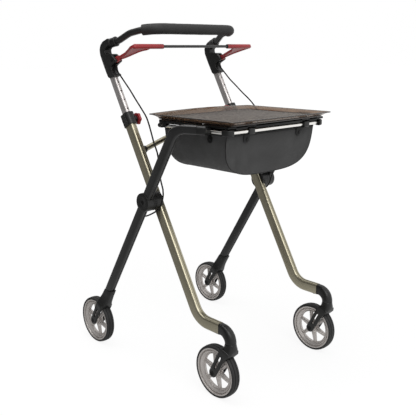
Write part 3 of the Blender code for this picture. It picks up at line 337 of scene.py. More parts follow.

# %% [markdown]
# ## Pebbled rubber
#
# The tray's mat is sheet rubber, embossed with fine pebbles about 2 mm across so that cups don't
# slide, drawn at 5 mm so that they show. Voronoi cells give the pebbles: the distance to the
# nearest cell's centre rounds each one over. The same distance paints the colour, lighter on each
# pebble's top and darker in the grooves between them: painted light and painted shade. A fine
# noise adds dust.

# %% Embossed mat rubber
pebbled, tree = empty_material("embossed_non_slip_rubber")
place = object_place(tree)
cells = add_node(tree, "TexVoronoi", {"Vector": place, "Scale": 200.0})
dust = add_noise(tree, place, 170.0, 3.0)
domes = add_math(tree, "SUBTRACT", 1.0, (cells, "Distance"))
# painted light on each pebble's top and painted shade in the grooves, with a little dust noise
shade = add_math(tree, "MULTIPLY_ADD", dust, 0.2, domes)
tint = tinted(tree, ranged(tree, shade, 0.0, 1.0, start=0.30, end=0.92), "#3d3935", "#78716b")
surface(tree, tint, 0.72, bumped(tree, domes, 0.6, 0.0008), {"Specular IOR Level": 0.3})
print("made", pebbled.name)

# %% [markdown]
# ## The tray's smoked plastic
#
# The tray is clear plastic dyed a warm brown, two and a half millimetres thick. Seen through its
# two faces it is darker, so each face carries half of the tint. Light passes through and the
# rails show faintly below. Seen edge on, the sheet is so deep that it looks nearly black, so the
# rolled rim has a darker material of its own.

# %% Smoked polycarbonate
smoked, tree = empty_material("smoked_polycarbonate")
haze = add_noise(tree, object_place(tree), 30.0, 5.0)
tint = tinted(tree, haze, "#78614f", "#927963")
relief = bumped(tree, haze, 0.04, 0.0004)
clear = {"IOR": 1.50, "Transmission Weight": 0.94}
surface(tree, tint, ranged(tree, haze, 0.10, 0.22), relief, clear)
smoked_edge = moulded("smoked_polycarbonate_edge", "#17110d", "#2b2019", 0.18, 4.0, 0.0001, coat=0.4)
print("made", smoked.name, "and", smoked_edge.name)

# %% [markdown]
# ## Woven cloth
#
# The basket is coarse polyester cloth in a plain weave: each thread goes over one and under the
# next. Real threads are 0.5 mm apart, drawn here at 1.6 mm so that the weave shows. Two sets of
# sine bands, one across the other, make it, and a UV map in metres of the flat cut carries it
# round the bends. Webbing is a coarser and darker weave of the same yarn.


# %% Polyester cloth and webbing
def woven(name, color, lit_thread_color, thread_mm, depth):
    """A plain weave on a UV map that is measured in metres."""
    made, tree = empty_material(name)
    place = (add_node(tree, "TexCoord"), "UV")
    split = add_node(tree, "SeparateXYZ", {0: place})
    waves = []
    for axis in ("X", "Y"):
        phase = add_math(tree, "MULTIPLY", (split, axis), math.pi * 1000.0 / thread_mm)
        waves.append(add_math(tree, "SINE", phase))
    weave = add_math(tree, "MULTIPLY", *waves)
    over = ranged(tree, weave, 0.0, 1.0, start=-1.0)
    # The colour follows the weave's relief: painted light where a thread rides over a crossing and
    # painted shade where it dips under, mottled by noise.
    shade = add_math(tree, "MULTIPLY", over, add_noise(tree, place, 18.0, 5.0))
    tint = tinted(tree, shade, color, lit_thread_color)
    fuzz = {"Sheen Weight": 0.10, "Specular IOR Level": 0.25, "Sheen Roughness": 0.5}
    surface(tree, tint, 0.9, bumped(tree, over, 0.5, depth), fuzz)
    return made


cloth = woven("grey_polyester_cloth", "#313131", "#5f5f5f", 1.6, 0.0004)
webbing = woven("black_polyester_webbing", "#262626", "#444444", 2.4, 0.0006)
print("made", cloth.name, "and", webbing.name)

# %% [markdown]
# ## Finishes and slots
#
# Each finish is paired with the name of the slot that it fills in the solid part, but only the finish
# goes onto a piece.
# The pairs that many pieces share get a short name.

# %% Pairs of finish and slot
BLACK = (black_plastic, "black_plastic")
COATED = (powder_coat, "black_powder_coat")
RED = (red_plastic, "red_plastic")
STEEL = (black_steel, "zinc_steel")
CHAMPAGNE = (champagne, "champagne_aluminium")
CHROME = (chrome, "chromed_steel")
print("short names for", [slot for look, slot in (BLACK, COATED, RED, STEEL, CHAMPAGNE, CHROME)])

# %% [markdown]
# ## Working as by hand
#
# Each piece starts as a primitive and is shaped with the same operators that the menus call. An
# operator acts on whatever is selected, and the solid nodes are selected after loading, so the
# first helper selects one piece alone. A line or an outline is drawn as by hand too: a plane is
# collapsed to one vertex, and that vertex is extruded from point to point.


# %% Helpers: select, extrude and draw a line
def only(piece):
    """Select one piece and nothing else."""
    bpy.ops.object.select_all(action="DESELECT")
    piece.select_set(True)
    bpy.context.view_layer.objects.active = piece


def edit_all(piece):
    """Go into edit mode with the whole piece selected."""
    only(piece)
    bpy.ops.object.mode_set(mode="EDIT")
    bpy.ops.mesh.select_all(action="SELECT")


def pick(piece, kind, wanted):
    """Go into edit mode with only some vertices or polygons selected."""
    edit_all(piece)
    bpy.ops.mesh.select_mode(type="VERT" if kind == "vertices" else "FACE")
    bpy.ops.mesh.select_all(action="DESELECT")
    bpy.ops.object.mode_set(mode="OBJECT")
    for element in getattr(piece.data, kind):
        element.select = wanted(element)
    bpy.ops.object.mode_set(mode="EDIT")


def done():
    """Leave edit mode and return the piece that was being edited."""
    bpy.ops.mesh.select_mode(type="VERT")
    bpy.ops.object.mode_set(mode="OBJECT")
    return bpy.context.active_object


def pushed(way):
    """Extrude what is selected along a vector."""
    bpy.ops.mesh.extrude_region_move(TRANSFORM_OT_translate={"value": way})


def drawn(name, points, closed=False):
    """A line of edges through the points, drawn by extruding one vertex."""
    bpy.ops.object.select_all(action="DESELECT")
    bpy.ops.mesh.primitive_plane_add(size=0.0001, location=points[0])
    bpy.context.active_object.name = name
    bpy.ops.object.mode_set(mode="EDIT")
    bpy.ops.mesh.select_all(action="SELECT")
    bpy.ops.mesh.merge(type="CENTER")
    stops = [Vector(point) for point in points]
    if closed:
        stops.append(stops[0])
    for before, after in zip(stops, stops[1:]):
        pushed(after - before)
    if closed:
        bpy.ops.mesh.select_all(action="SELECT")
        bpy.ops.mesh.remove_doubles(threshold=0.00001)
    piece = done()
    bpy.ops.object.transform_apply()
    return piece


def close_skin(piece, doubles=0.00001):
    """Merge doubled vertices and turn every face outwards."""
    edit_all(piece)
    bpy.ops.mesh.remove_doubles(threshold=doubles)
    bpy.ops.mesh.normals_make_consistent(inside=False)
    return done()


print("a line can be drawn")

# %% [markdown]
# Edges are rounded, and shapes are joined or cut, by modifiers that are applied at once. A piece
# that is easier to make round the origin is turned and moved to its place afterwards.


# %% Helpers: round, cut, join, place and copy
def modified(piece, kind, **settings):
    """Give the piece a modifier with these settings, and apply it."""
    only(piece)
    step = piece.modifiers.new("step", kind)
    for name, value in settings.items():
        setattr(step, name, value)
    bpy.ops.object.modifier_apply(modifier=step.name)
    return piece


def bevelled(piece, width, segments, angle=30):
    """Round the piece's sharp edges."""
    limit = {"limit_method": "ANGLE", "angle_limit": math.radians(angle)}
    return modified(piece, "BEVEL", width=width, segments=segments, **limit)


def combined(piece, other, operation):
    """Use another shape on the piece, and remove the other shape."""
    modified(piece, "BOOLEAN", operation=operation, solver="EXACT", object=other)
    bpy.data.objects.remove(other, do_unlink=True)
    return piece


def cut(piece, *cutters):
    """Cut other shapes away from the piece, one by one."""
    for cutter in cutters:
        combined(piece, cutter, "DIFFERENCE")
    return piece


def fused(piece, other):
    """Join another shape to the piece."""
    return combined(piece, other, "UNION")


def placed(piece, place, rotation=(0, 0, 0)):
    """Turn and move a piece."""
    only(piece)
    piece.rotation_euler = rotation
    piece.location = place
    bpy.ops.object.transform_apply()
    return piece


def joined(pieces, name):
    """Several objects as one, without cutting them."""
    bpy.ops.object.select_all(action="DESELECT")
    for piece in pieces:
        piece.select_set(True)
    bpy.context.view_layer.objects.active = pieces[0]
    bpy.ops.object.join()
    pieces[0].name = name
    return pieces[0]


def copied(piece, name):
    """A copy of the piece with its own mesh."""
    only(piece)
    bpy.ops.object.duplicate()
    copy = bpy.context.active_object
    copy.name = name
    return copy


print("a shape can be rounded, cut, joined, placed and copied")

# %% [markdown]
# Nearly every piece has a twin, so the left one is modelled and mirrored. Finishing a piece gives
# it a name, a finish and the body that it rides on, and hides the solid nodes that it stands for.


# %% Helpers: mirror and finish
def mirrored(piece, name):
    """The same piece for the other side of the rollator."""
    copy = copied(piece, name)
    copy.scale.x = -1
    bpy.ops.object.transform_apply()
    return close_skin(copy)


def finished(piece, name, look, body, nodes=(), smooth=30):
    """Name the piece, give it the finish from its (finish, slot) pair, whose slot is not used, and let
    it ride on its solid body.
    """
    material, slot = look
    only(piece)
    bpy.ops.object.transform_apply()
    bpy.ops.object.shade_smooth_by_angle(angle=math.radians(smooth))
    piece.name = name
    piece.data.name = name
    piece.data.materials.clear()
    piece.data.materials.append(material)
    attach(piece, body)
    if nodes:
        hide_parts(*nodes)
    return piece


def both_sides(piece, name, look, body, nodes=(), smooth=30):
    """Finish a left piece and its mirrored copy. Names hold {} where the side's letter goes."""
    other = mirrored(piece, name.format("r"))
    for side, one in (("l", piece), ("r", other)):
        stands_for = [node.format(side) for node in nodes]
        finished(one, name.format(side), look, body.format(side), stands_for, smooth)


print("a piece can be mirrored and finished")

# %% [markdown]
# Most shapes come from an outline. A profile spun round an axis gives wheels and caps, an outline
# made thick gives plates, and a skin bridged over a stack of outlines gives forks and the tray.
# Boxes and rods are primitives.


# %% Helpers: turned shapes, plates, primitives and skins
def symmetric(half):
    """A closed profile of (radius, along): the half that is given, and its mirror image."""
    whole = half + [(radius, -along) for radius, along in reversed(half) if along > 0]
    return whole + whole[:1]


def turned(name, profile, centre, steps):
    """A line of (radius, along X) points spun round the X axis through a centre."""
    x, y, z = centre
    piece = drawn(name, [(x + along, y, z + radius) for radius, along in profile])
    edit_all(piece)
    bpy.ops.mesh.spin(steps=steps, angle=2 * math.pi, center=centre, axis=(1, 0, 0))
    done()
    return close_skin(piece, 0.00002)


def slab(name, points, way):
    """A flat outline made thick along a vector."""
    piece = drawn(name, points, closed=True)
    edit_all(piece)
    bpy.ops.mesh.edge_face_add()
    pushed(way)
    done()
    return close_skin(piece)


def plate(name, outline, middle, thickness):
    """An outline of (y, z) points made thick along X."""
    return slab(name, [(middle - thickness / 2, y, z) for y, z in outline], (thickness, 0, 0))


def block(name, size, centre):
    """A box primitive at its place."""
    bpy.ops.object.select_all(action="DESELECT")
    bpy.ops.mesh.primitive_cube_add(size=1, location=centre, scale=size)
    piece = bpy.context.active_object
    piece.name = name
    bpy.ops.object.transform_apply()
    return piece


def rod(name, radius, start, end, sides=32):
    """A round bar between two points."""
    start, end = Vector(start), Vector(end)
    heading = (end - start).to_track_quat("Z", "Y").to_euler()
    bpy.ops.object.select_all(action="DESELECT")
    bpy.ops.mesh.primitive_cylinder_add(
        vertices=sides,
        radius=radius,
        depth=(end - start).length,
        location=(start + end) / 2,
        rotation=heading,
    )
    piece = bpy.context.active_object
    piece.name = name
    bpy.ops.object.transform_apply()
    return piece


def bridged(name, rings):
    """A skin over outlines that all have the same number of points, closed at both ends."""
    outlines = [drawn(name, ring, closed=True) for ring in rings]
    count = len(rings[0])
    piece = joined(outlines, name)
    for start in range(0, count * (len(rings) - 1), count):
        pick(piece, "vertices", lambda vertex: start <= vertex.index < start + 2 * count)
        bpy.ops.mesh.bridge_edge_loops()
        done()
    edit_all(piece)
    bpy.ops.mesh.fill_holes(sides=0)
    done()
    return close_skin(piece)


print("a profile can be turned, made thick or bridged")

# %% [markdown]
# Tubes, cables and grips are an outline swept along a path. The outline is a rounded rectangle, a
# circle or a superellipse, which lies between the two, and the path is a line whose corners are
# rounded, as a tube bender does.


# %% Helpers: outlines, paths and sweeps
def section(width, depth, corner, groove=0.0, steps=5):
    """A rounded rectangle of (x, y) points, with a groove in the middle of its +y side."""
    points = []
    for quarter in range(4):
        middle_x = (width / 2 - corner) * (1 if quarter in (0, 3) else -1)
        middle_y = (depth / 2 - corner) * (1 if quarter in (0, 1) else -1)
        for step in range(steps + 1):
            angle = math.pi / 2 * (quarter + step / steps)
            points.append((middle_x + corner * math.cos(angle), middle_y + corner * math.sin(angle)))
        if quarter == 0 and groove:
            top = depth / 2
            points += [(groove, top), (groove * 0.6, top - 0.0016), (-groove * 0.6, top - 0.0016)]
            points.append((-groove, top))
    return points


def rounded_path(points, radii, turn=math.radians(7)):
    """The line through the points with its inner corners rounded to the radii."""
    points = [Vector(point) for point in points]
    out = [points[0]]
    for before, corner, after, radius in zip(points, points[1:], points[2:], radii):
        arriving = (corner - before).normalized()
        leaving = (after - corner).normalized()
        angle = arriving.angle(leaving)
        reach = radius * math.tan(angle / 2)
        axis = arriving.cross(leaving).normalized()
        start = corner - arriving * reach
        centre = start + axis.cross(arriving) * radius
        steps = max(2, round(angle / turn))
        for step in range(steps + 1):
            swing = Matrix.Rotation(angle * step / steps, 3, axis)
            out.append(centre + swing @ (start - centre))
    return out + [points[-1]]


def swept(name, outline, path, twist="Z_UP"):
    """An outline of (x, y) points swept along a path. Its +y side keeps facing up."""
    profile = drawn("profile", [(x, y, 0) for x, y in outline], closed=True)
    only(profile)
    bpy.ops.object.convert(target="CURVE")
    piece = drawn(name, path)
    only(piece)
    bpy.ops.object.convert(target="CURVE")
    piece.data.dimensions = "3D"
    piece.data.twist_mode = twist
    piece.data.bevel_mode = "OBJECT"
    piece.data.bevel_object = profile
    piece.data.use_fill_caps = True
    bpy.ops.object.convert(target="MESH")
    bpy.data.objects.remove(profile, do_unlink=True)
    return close_skin(piece)


def circle(radius, steps):
    """A round outline of (x, y) points."""
    angles = [2 * math.pi * step / steps for step in range(steps)]
    return [(radius * math.cos(angle), radius * math.sin(angle)) for angle in angles]


RING_STEPS = 32


def superellipse(middle, across, deep, half_width, half_depth, power):
    """A ring of points: power 2 is an ellipse, and a higher one is squarer."""
    points = []
    for step in range(RING_STEPS):
        angle = 2 * math.pi * (step + 0.5) / RING_STEPS
        c, s = math.cos(angle), math.sin(angle)
        a = math.copysign(abs(c) ** (2 / power), c) * half_width
        b = math.copysign(abs(s) ** (2 / power), s) * half_depth
        points.append(Vector(middle) + Vector(across) * a + Vector(deep) * b)
    return points


print("a tube's outline has", len(section(0.02, 0.03, 0.006)), "points")

# %% [markdown]
# ## Side tubes
#
# Each side tube is one aluminium extrusion, 21 by 33 mm, with a shallow groove down the middle of
# its front face. It runs level out of the caster's elbow, bends, and climbs back to the clamp
# collar. A section swept along a rounded line gives exactly that, groove and all.

# %% Side tubes
ACROSS = Vector((1, 0, 0))
BACK = Vector((0, 1, 0))
UP = Vector((0, 0, 1))
TUBE_BACK = Vector((0, math.cos(TUBE_LEAN), -math.sin(TUBE_LEAN)))
TUBE_X = 0.210
LEVEL_Z = 0.204  # the tube's level end
TUBE_FOOT_Y = -0.3045  # where its sloping line would meet the floor


def tube_axis(z):
    """The side tube's centre line at a height."""
    return Vector((TUBE_X, TUBE_FOOT_Y + z * math.tan(TUBE_LEAN), z))


tube_corners = [(TUBE_X, -0.2747, LEVEL_Z), tube_axis(LEVEL_Z), tube_axis(0.7445)]
tube_outline = section(0.0212, 0.0330, 0.0065, groove=0.0026)
side_tube = swept("side_tube", tube_outline, rounded_path(tube_corners, [0.060]))
both_sides(side_tube, "dressed_side_tube_{}", CHAMPAGNE, "side_frames", ["side_tube_{}"])
print("side tube", len(side_tube.data.polygons), "faces")

# %% [markdown]
# The elbow inside the tube's level end is held by a small screw from below. A low bump is all
# that shows of it, so a cylinder with its rim rounded is enough.

# %% Elbow screws
elbow_screw = rod("elbow_screw", 0.0034, (TUBE_X, -0.2600, 0.1850), (TUBE_X, -0.2600, 0.1885), 20)
bevelled(elbow_screw, 0.0010, 3)
both_sides(elbow_screw, "elbow_screw_{}", STEEL, "side_frames")

# %% [markdown]
# The legs have a similar section, 20 by 30 mm, in black powder coat. They run from the rear forks
# through the hubs and bend forward and inward at the top to end under the tray. Their groove is on the
# front face, which is the lower side here, so the outline is turned over before the sweep. The
# bender squeezes the tube a little, so its upper side is lowered where it runs level.

# %% Rear legs
LEG_LEAN = math.radians(32.21)
LEG_X = 0.251
LEG_FOOT_Y = 0.3107  # where its line would meet the floor
LEG_BEND_Z = 0.735
SQUEEZE_LOW, SQUEEZE_HIGH = 0.7185, 0.7485  # the bender's squeeze grows between these heights


def leg_axis(z):
    """The leg's centre line at a height."""
    return Vector((LEG_X, LEG_FOOT_Y - z * math.tan(LEG_LEAN), z))


leg_end = Vector((0.2247, -0.2050, 0.7335))
leg_line = rounded_path([leg_axis(0.165), leg_axis(LEG_BEND_Z), leg_end], [0.048])
leg_outline = [(x, -y) for x, y in section(0.020, 0.030, 0.007, groove=0.0040)]
rear_leg = swept("rear_leg", leg_outline, leg_line)
for vertex in rear_leg.data.vertices:
    above = max(0.0, vertex.co.z - SQUEEZE_LOW)
    vertex.co.z -= 0.0060 * (above / (SQUEEZE_HIGH - SQUEEZE_LOW)) ** 1.5
both_sides(rear_leg, "dressed_rear_leg_{}", COATED, "rear_frame", ["rear_leg_{}"])
print("leg", len(rear_leg.data.polygons), "faces")

# %% [markdown]
# The silver tubes slide in the side tubes. A row of small holes runs down the front of each, where
# the clamp's pin can lock. The holes are about 25 mm apart, and are cut with a row of rods.
# The tube reaches 110 mm down into the side tube.

# %% Silver telescopic tubes
COLLAR_TOP = 0.7485
silver_line = [tube_axis(COLLAR_TOP - 0.110 * math.cos(TUBE_LEAN)), tube_axis(0.8860)]
silver_tube = swept("silver_tube", section(0.0164, 0.0264, 0.0065, groove=0.0016), silver_line)
TOP_HOLE_Z, HOLE_STEP = 0.8335, 0.0247
for hole in range(6):
    middle = tube_axis(TOP_HOLE_Z - HOLE_STEP * hole)
    cut(silver_tube, rod("hole", 0.0028, middle - TUBE_BACK * 0.02, middle + TUBE_BACK * 0.004, 16))
silver_look = (silver, "silver_aluminium")
both_sides(silver_tube, "dressed_silver_tube_{}", silver_look, "handle", ["silver_tube_{}"])
print("silver tube", len(silver_tube.data.polygons), "faces")

# %% [markdown]
# ## Wheels
#
# Each wheel is 150 mm across: a soft tyre on a moulded rim with six ribbed spokes. The tyre and
# the rim's barrel are profiles spun round the axle. The spokes taper to the barrel and carry a
# rib, so each is a skin bridged between a wide and a narrow outline. One spoke is modelled and
# turned for the other five, and one wheel is modelled and moved for the other three.

# %% One tyre and one rim at the front left
FRONT_WHEEL = Vector((0.2104, -0.2615, 0.075))
REAR_WHEEL = Vector((0.2524, 0.2615, 0.075))
tyre_half = [
    (0.0678, 0.0120), (0.0686, 0.0131), (0.0706, 0.0138), (0.0724, 0.0131), (0.0737, 0.0112),
    (0.0744, 0.0080), (0.0745, 0.0062), (0.0732, 0.0056), (0.0732, 0.0044), (0.0747, 0.0038),
    (0.0750, 0.0),
]
tyre = turned("tyre", symmetric(tyre_half), FRONT_WHEEL, steps=72)

barrel_half = [
    (0.0675, 0.0125), (0.0642, 0.0125), (0.0632, 0.0118), (0.0626, 0.0070), (0.0604, 0.0070),
    (0.0598, 0.0100), (0.0584, 0.0104), (0.0566, 0.0092), (0.0530, 0.0036), (0.0514, 0.0036),
    (0.0508, 0.0050), (0.0498, 0.0046),
]
barrel = turned("barrel", symmetric(barrel_half), FRONT_WHEEL, steps=72)
hub_half = [(0.0043, 0.0125), (0.0095, 0.0125), (0.0108, 0.0112), (0.0130, 0.0104), (0.0136, 0.0080)]
hub = turned("hub", symmetric(hub_half), FRONT_WHEEL, steps=36)


def spoke_ring(radius, half_width, half_depth, rib):
    """The spoke's outline at a radius: flat sides with a raised rib in the middle of each face."""
    x, y, z = FRONT_WHEEL
    rib_half = half_width * 0.38
    half = [
        (half_width, -half_depth),
        (half_width, half_depth),
        (rib_half, half_depth),
        (rib_half * 0.7, half_depth + rib),
        (-rib_half * 0.7, half_depth + rib),
        (-rib_half, half_depth),
    ]
    around = half + [(-across, -deep) for across, deep in half]
    return [(x + deep, y + across, z + radius) for across, deep in around]


spoke_rings = [spoke_ring(0.0125, 0.0072, 0.0044, 0.0022), spoke_ring(0.0515, 0.0050, 0.0026, 0.0014)]
SPOKES = 6
FIRST_SPOKE = 12  # degrees from straight up
spokes = []
for number in range(SPOKES):
    edit_all(bridged("spoke", spoke_rings))
    swing = math.radians(360 / SPOKES * number + FIRST_SPOKE)
    bpy.ops.transform.rotate(value=swing, orient_axis="X", center_override=FRONT_WHEEL)
    spokes.append(done())
rim = joined([barrel, hub, *spokes], "rim")
bevelled(rim, 0.0004, 1, angle=40)
print("rim", len(rim.data.polygons), "faces; tyre", len(tyre.data.polygons), "faces")

# %% Put the four wheels in place
wheel_pieces = (
    (tyre, "tyre", (tyre_rubber, "tyre_rubber")),
    (rim, "rim", (rim_plastic, "rim_grey_plastic")),
)
for row, place in (("front", FRONT_WHEEL), ("rear", REAR_WHEEL)):
    for piece, name, look in wheel_pieces:
        wheel = placed(copied(piece, name), place - FRONT_WHEEL)
        node = f"{name}_{row}_{{}}"
        both_sides(wheel, "dressed_" + node, look, f"wheel_{row}_{{}}", [node], smooth=40)
    for side in ("l", "r"):
        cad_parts[f"axle_{row}_{side}"].data.materials[0] = zinc
for piece in (tyre, rim):
    bpy.data.objects.remove(piece, do_unlink=True)
print("four wheels stand at", tuple(FRONT_WHEEL), "and", tuple(REAR_WHEEL))

# %% [markdown]
# ## Brake cables
#
# A thin black cable leaves each handle head, hangs free before the side tube, turns round the hub
# and goes into the rear leg, where it pulls the brake shoe. It is one cord on the real object, whose
# upper length moves with the telescopic handle and lower length with the fold. Here it is made in
# two lengths that meet beside the hub, and both stay where they are drawn. The points are those of
# the solid cable, without one that made a kink, and a smooth curve through them gives the line.

# %% Cables
CABLE_RADIUS = 0.00225
cable_upper = [
    (0.2085, 0.1650, 0.8800), (0.2095, 0.1577, 0.8705), (0.2100, 0.1169, 0.8346),
    (0.2120, 0.0957, 0.8185), (0.2160, 0.0632, 0.7921), (0.2200, 0.0330, 0.7690),
    (0.2220, 0.0048, 0.7405), (0.2280, -0.0293, 0.6804), (0.2300, -0.0470, 0.6494),
    (0.2300, -0.0555, 0.5885), (0.2276, -0.0630, 0.5560),
]
cable_lower = [
    (0.2274, -0.0631, 0.5545), (0.2265, -0.0615, 0.5330), (0.2265, -0.0480, 0.5020),
    (0.2290, -0.0300, 0.4860), (0.2302, -0.0080, 0.4740), (0.2310, 0.0070, 0.4672),
    (0.2340, 0.0145, 0.4648), (0.2396, 0.0150, 0.4645),
]


def smooth_line(points, count):
    """Evenly spaced points on a smooth curve through the given ones."""
    points = [Vector(point) for point in points]
    ends = [2 * points[0] - points[1], *points, 2 * points[-1] - points[-2]]
    fine = [points[0]]
    for a, b, c, d in zip(ends, ends[1:], ends[2:], ends[3:]):
        for step in range(1, 17):
            t = step / 16
            straight = 2 * b + (c - a) * t
            square = (2 * a - 5 * b + 4 * c - d) * t**2
            cube = (3 * b - a - 3 * c + d) * t**3
            fine.append((straight + square + cube) / 2)
    length = sum((q - p).length for p, q in zip(fine, fine[1:]))
    out = [fine[0]]
    walked = 0.0
    for p, q in zip(fine, fine[1:]):
        run = (q - p).length
        while len(out) < count and walked + run >= length * len(out) / count:
            out.append(p.lerp(q, (length * len(out) / count - walked) / run))
        walked += run
    return out + [fine[-1]]


upper_points = cable_upper[:-1] + cable_lower[:1]
for name, points, count, bodies, bend in (
    ("upper", upper_points, 36, ("handle", "side_frames"), ((0, 0.150, 0.862), (0, -0.0555, 0.5885))),
    ("lower", cable_lower, 20, ("side_frames", "rear_frame"), ((0, -0.060, 0.540), (0, 0.0145, 0.4648))),
):
    for sign, side in ((1, "l"), (-1, "r")):
        route = smooth_line([(sign * x, y, z) for x, y, z in points], count)
        cable = swept("cable", circle(CABLE_RADIUS, 14), route, "MINIMUM")
        cable.name = f"dressed_cable_{name}_{side}"
        bpy.ops.object.shade_smooth_by_angle(angle=math.radians(50))
        cable.data.materials.append(cable_sheath)
        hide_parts(f"brake_cable_{name}_{side}")
        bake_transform(cable)

# %% [markdown]
# ## Crossbar
#
# A round bar joins the two side tubes below the tray and rises in the middle. A black ferrule
# closes each end against its tube. The bar is swept, and the ferrule is a stepped profile spun
# round the bar's axis.

# %% Crossbar
bar_end = Vector((TUBE_X - 0.0106 - 0.0003, 0.0635, 0.6490))
half_bar = [(bar_end.x, bar_end.z), (bar_end.x - 0.009, bar_end.z), (0.105, bar_end.z + 0.0270)]
bar_corners = [(-x, bar_end.y, z) for x, z in half_bar]
bar_corners += [(x, bar_end.y, z) for x, z in reversed(half_bar)]
crossbar_line = rounded_path(bar_corners, [0.025, 0.08, 0.08, 0.025])
crossbar = swept("crossbar", circle(0.008, 28), crossbar_line)
finished(crossbar, "dressed_crossbar", CHAMPAGNE, "side_frames", ["crossbar"])
ferrule_profile = [
    (0.0070, 0.0), (0.0102, 0.0), (0.0108, -0.0010), (0.0108, -0.0045), (0.0101, -0.0052),
    (0.0101, -0.0066), (0.0108, -0.0073), (0.0106, -0.0110), (0.0094, -0.0125), (0.0070, -0.0125),
    (0.0070, 0.0),
]
ferrule = turned("ferrule", ferrule_profile, bar_end, steps=32)
both_sides(ferrule, "crossbar_ferrule_{}", BLACK, "side_frames")
print("crossbar", len(crossbar.data.polygons), "faces")

# %% [markdown]
# ## Clamp collars and knobs
#
# Where the silver tube enters the side tube, a black collar grips it. A lobed red knob on the
# inner side draws the collar tight. The collar is a short sweep of a rounded outline, with finger
# grooves cut along it by thin rods and a countersunk screw on the outside. The knob is a lobed
# outline made thick, with soft edges and a dished face.

# %% Collars
KNOB_AXIS = Vector((0, 0.1035, 0.7345))
collar_line = [tube_axis(0.7165), tube_axis(COLLAR_TOP)]
collar = swept("collar", section(0.031, 0.041, 0.013, steps=8), collar_line)
bevelled(collar, 0.0022, 3, angle=60)
grooves = [ACROSS * 0.0158 + TUBE_BACK * shift for shift in (-0.0085, -0.0045, -0.0005, 0.0035)]
grooves += [ACROSS * shift - TUBE_BACK * 0.0208 for shift in (-0.0045, 0.0, 0.0045)]
for shift in grooves:
    cut(collar, rod("groove", 0.0011, tube_axis(0.7100) + shift, tube_axis(0.7550) + shift, 12))
boss = rod("boss", 0.0095, KNOB_AXIS + ACROSS * 0.197, KNOB_AXIS + ACROSS * 0.1883)
fused(collar, bevelled(boss, 0.0008, 2))
screw_place = tube_axis(0.7325) + ACROSS * 0.0155 + TUBE_BACK * 0.0105
countersink = rod("countersink", 0.0034, screw_place - ACROSS * 0.0014, screw_place + ACROSS * 0.004, 24)
cut(collar, countersink)
both_sides(collar, "dressed_collar_{}", BLACK, "side_frames", ["clamp_collar_{}"], 40)
print("collar", len(collar.data.polygons), "faces")


# %% Screws and knobs
def screw(name, place, radius):
    """A low screw head with a hexagon socket, facing +X."""
    head = rod(name, radius, place - ACROSS * 0.0008, place + ACROSS * 0.0006, 24)
    socket = rod("socket", radius * 0.5, place - ACROSS * 0.0002, place + ACROSS * 0.003, 6)
    return bevelled(cut(head, socket), 0.0002, 1)


collar_screw = screw("collar_screw", screw_place - ACROSS * 0.0010, 0.0029)
both_sides(collar_screw, "collar_screw_{}", STEEL, "side_frames")

KNOB_RADIUS = 0.0168
LOBES = 6
knob_outline = []
for step in range(72):
    angle = 2 * math.pi * step / 72
    radius = KNOB_RADIUS + 0.0013 * math.cos(LOBES * angle)
    knob_outline.append((KNOB_AXIS.y + radius * math.cos(angle), KNOB_AXIS.z + radius * math.sin(angle)))
knob = plate("knob", knob_outline, 0.18375, 0.0085)
bevelled(knob, 0.0022, 3, angle=60)
cut(knob, rod("dish", 0.0092, KNOB_AXIS + ACROSS * 0.1775, KNOB_AXIS + ACROSS * 0.1811, 36))
both_sides(knob, "dressed_knob_{}", RED, "clamp_knob_{}", ["clamp_knob_{}"], 40)
plug_profile = [
    (0.0, 0.1799), (0.0050, 0.1801), (0.0080, 0.1806), (0.0086, 0.1812), (0.0086, 0.1820),
    (0.0, 0.1820),
]
knob_plug = turned("knob_plug", plug_profile, KNOB_AXIS, steps=32)
both_sides(knob_plug, "knob_plug_{}", (black_plastic, "red_plastic"), "clamp_knob_{}")
print("knob", len(knob.data.polygons), "faces")

# %% [markdown]
# ## Handle heads
#
# A moulded head joins each silver tube to the handle bar. Seen from the side it is a hook: a
# sleeve round the tube, a swept back with a thin top, a socket for the bar, and an ear that holds
# the brake lever's pivot. The side outline is drawn, its corners rounded, made 25 mm thick and
# given soft edges; then the slot for the lever, the bar's bore and the tube's socket are cut.


# %% Handle heads
def softened(outline, radius):
    """A closed (y, z) outline with its corners rounded as far as they have room."""
    points = [Vector((0, y, z)) for y, z in outline]
    around = [points[-1], *points, points[0]]
    radii = []
    for before, corner, after in zip(around, around[1:], around[2:]):
        angle = (corner - before).angle(after - corner)
        room = 0.48 * min((corner - before).length, (after - corner).length)
        radii.append(min(radius, room / max(math.tan(angle / 2), 0.001)))
    path = rounded_path(around, radii, turn=math.radians(15))[1:-1]
    return [(point.y, point.z) for point in path]


head_outline = [
    (0.1865, 0.8475), (0.1995, 0.8685), (0.2125, 0.8915), (0.2250, 0.9155), (0.2275, 0.9305),
    (0.2225, 0.9435), (0.2105, 0.9540), (0.1895, 0.9610), (0.1805, 0.9630), (0.1805, 0.9440),
    (0.1925, 0.9380), (0.2015, 0.9305), (0.2005, 0.9235), (0.1985, 0.9190), (0.1690, 0.9190),
    (0.1620, 0.9120), (0.1480, 0.9015), (0.1485, 0.8975), (0.1690, 0.8868), (0.1735, 0.8815),
    (0.1715, 0.8750), (0.1640, 0.8640), (0.1500, 0.8595),
]
head = plate("head", softened(head_outline, 0.012), TUBE_X, 0.025)
bevelled(head, 0.0042, 4, angle=50)
handle_start = Vector((0.2060, 0.1985, 0.9480))
handle_exit = Vector((0.1955, 0.1625, 0.9570))
inward = (handle_exit - handle_start).normalized()
mouth_end = handle_start.lerp(handle_exit, 0.75)
mouth = bevelled(rod("mouth", 0.0135, handle_start, mouth_end), 0.0015, 2)
lip = bevelled(rod("lip", 0.0143, mouth_end - inward * 0.0060, mouth_end - inward * 0.0005), 0.0012, 2)
fused(head, fused(mouth, lip))
cut(head, rod("bore", 0.0100, handle_start, handle_exit + inward * 0.05))
